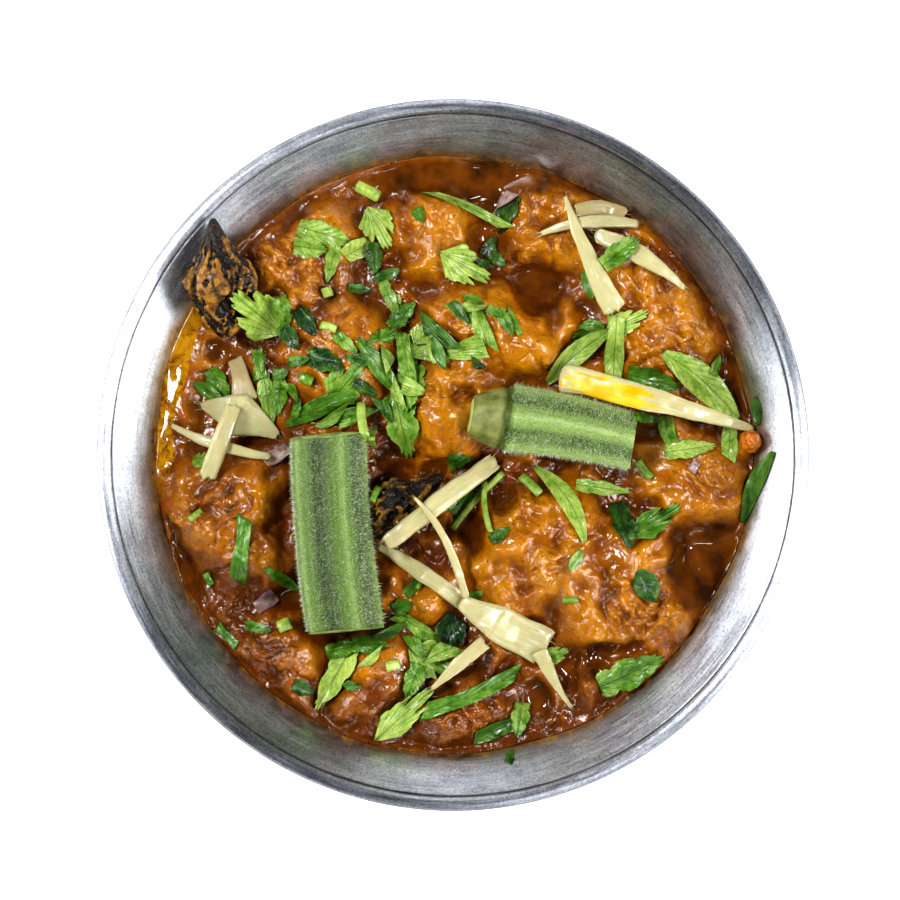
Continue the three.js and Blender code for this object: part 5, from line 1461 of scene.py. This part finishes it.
# Ginger: cream with fibres drawn out along the shred, browner and golden where set.
def gingerFinish():
    root = Finish("gingerShred", **{"Roughness": 0.32, "Specular IOR Level": 0.45, "Subsurface Weight": 0.35,
                                    "Subsurface Scale": 0.002, "Coat Weight": 0.4, "Coat Roughness": 0.08})
    strand, along, yellow, brown = (root.value(key) for key in ("strand", "alongShred", "yellow", "brown"))
    fibres = root.streaks(root.times(strand, 2.4), root.times(along, 0.11), 0.0, 2.0, 4.0, 0.65)
    patch = root.noise(4.0, detail=3.0)
    colour = root.tint((0.49, 0.425, 0.175, 1), (0.56, 0.525, 0.305, 1), fibres, 0.28, 0.68)
    colour = root.tint(colour, (0.455, 0.47, 0.175, 1), patch, 0.5, 0.7, 0.6)
    colour = root.tint(colour, (0.68, 0.67, 0.56, 1), fibres, 0.6, 0.72, 0.9)
    colour = root.tint(colour, ink(190, 168, 84), fibres, 0.36, 0.26, 0.4)
    colour = root.mix(brown, colour, ink(150, 104, 44))
    gold = root.tint(ink(255, 186, 0), ink(255, 214, 40), patch, 0.35, 0.65)
    root.use("Base Color", root.tint(colour, gold, yellow, 0.25, 0.7))
    root.use("Roughness", root.ramp(patch, 0.35, 0.65, 0.22, 0.42))
    root.use("Normal", root.bump(fibres, 0.07, 0.9))
    return root.material


gingerMaterial = gingerFinish()
# The first length of ginger_10 lies under the end of ginger_09, so it is laid before it.
for name in sorted(ginger, key=lambda name: name if name != "ginger_10" else "ginger_08+"):
    number = int(name[-2:]) - 1
    parts = []
    for index, (line, widths, thick, looseStart, looseEnd, brown) in enumerate(ginger[name]):
        stiff = len(ginger[name]) == 1 and max(widths) < 7
        seed = 200 + 20 * number + 7 * index
        yellow = float(name == "ginger_08")
        parts += shredPart(line, widths, thick, looseStart, looseEnd, brown, seed, yellow, stiff)
    makePiece(name + ".shred", parts, gingerMaterial, [name])
makeSprig(24, "coriander_25")  # this sprig lies on the ginger
print("ginger made")


# Floor, light and camera.
def floorFinish():
    paper = Finish("paleFloor", **{"Roughness": 0.7, "Specular IOR Level": 0.2,
                                   "Emission Color": (1, 1, 1, 1), "Emission Strength": 0.3})
    greys = (0.93, 0.93, 0.93, 1), (0.95, 0.95, 0.95, 1)
    paper.use("Base Color", paper.tint(*greys, paper.noise(30.0), 0.3, 0.7))
    return paper.material


floorMesh = bpy.data.meshes.new("floor")
floorMesh.from_pydata([(-2, -2, 0), (2, -2, 0), (2, 2, 0), (-2, 2, 0)], [], [(0, 1, 2, 3)])
floorMesh.materials.append(floorFinish())
floor = bpy.data.objects.new("floor", floorMesh)
bpy.context.scene.collection.objects.link(floor)

studio = {
    "world": 0.06,
    "aim": 0.05,  # height that the lamps look at, in metres
    # name: azimuth of the light, elevation, distance, width, height, watts
    "lamps": {
        "keyLeft": (152, 56, 0.8, 0.17, 0.17, 4.6),
        "keyRight": (352, 50, 0.8, 0.15, 0.15, 2.4),
        "front": (290, 44, 0.85, 0.36, 0.06, 1.2),
        "leftLow": (177, 15, 0.75, 0.46, 0.3, 4.5),
        "rightLow": (343, 14, 0.75, 0.58, 0.3, 5.8),
        "backLow": (90, 18, 0.85, 0.4, 0.16, 1.0),
    },
}
for name, (azimuth, elevation, distance, width, height, watts) in studio["lamps"].items():
    light = bpy.data.lights.new(name, "AREA")
    light.shape = "RECTANGLE"
    light.size, light.size_y, light.energy = width, height, watts
    lamp = bpy.data.objects.new(name, light)
    turn, lift = math.radians(azimuth), math.radians(elevation)
    level = math.cos(lift)
    toward = mathutils.Vector((math.cos(turn) * level, math.sin(turn) * level, math.sin(lift)))
    lamp.location = toward * distance + mathutils.Vector((0, 0, studio["aim"]))
    lamp.rotation_euler = toward.to_track_quat("Z", "Y").to_euler()
    bpy.context.scene.collection.objects.link(lamp)

world = bpy.data.worlds.new("studioRoom")
world.use_nodes = True
background = world.node_tree.nodes["Background"]
background.inputs["Color"].default_value = (0.97, 0.98, 1.0, 1)
background.inputs["Strength"].default_value = studio["world"]
bpy.context.scene.world = world
bpy.context.scene.view_settings.view_transform = "Standard"
bpy.context.scene.view_settings.look = "Medium High Contrast"

cameraPlace = {"x": -0.7, "y": 1.15, "aboveRim": 700.0, "frameAtRim": 208.0, "sensor": 36.0}
cameraData = bpy.data.cameras.new("camera")
cameraData.sensor_width = cameraPlace["sensor"]
cameraData.lens = cameraPlace["sensor"] * cameraPlace["aboveRim"] / cameraPlace["frameAtRim"]
cameraData.clip_start, cameraData.clip_end = 0.05, 5.0
camera = bpy.data.objects.new("camera", cameraData)
cameraHeight = bowl["height"] + cameraPlace["aboveRim"]
camera.location = (cameraPlace["x"] * mm, cameraPlace["y"] * mm, cameraHeight * mm)
bpy.context.scene.collection.objects.link(camera)
bpy.context.scene.camera = camera
print("stage made")
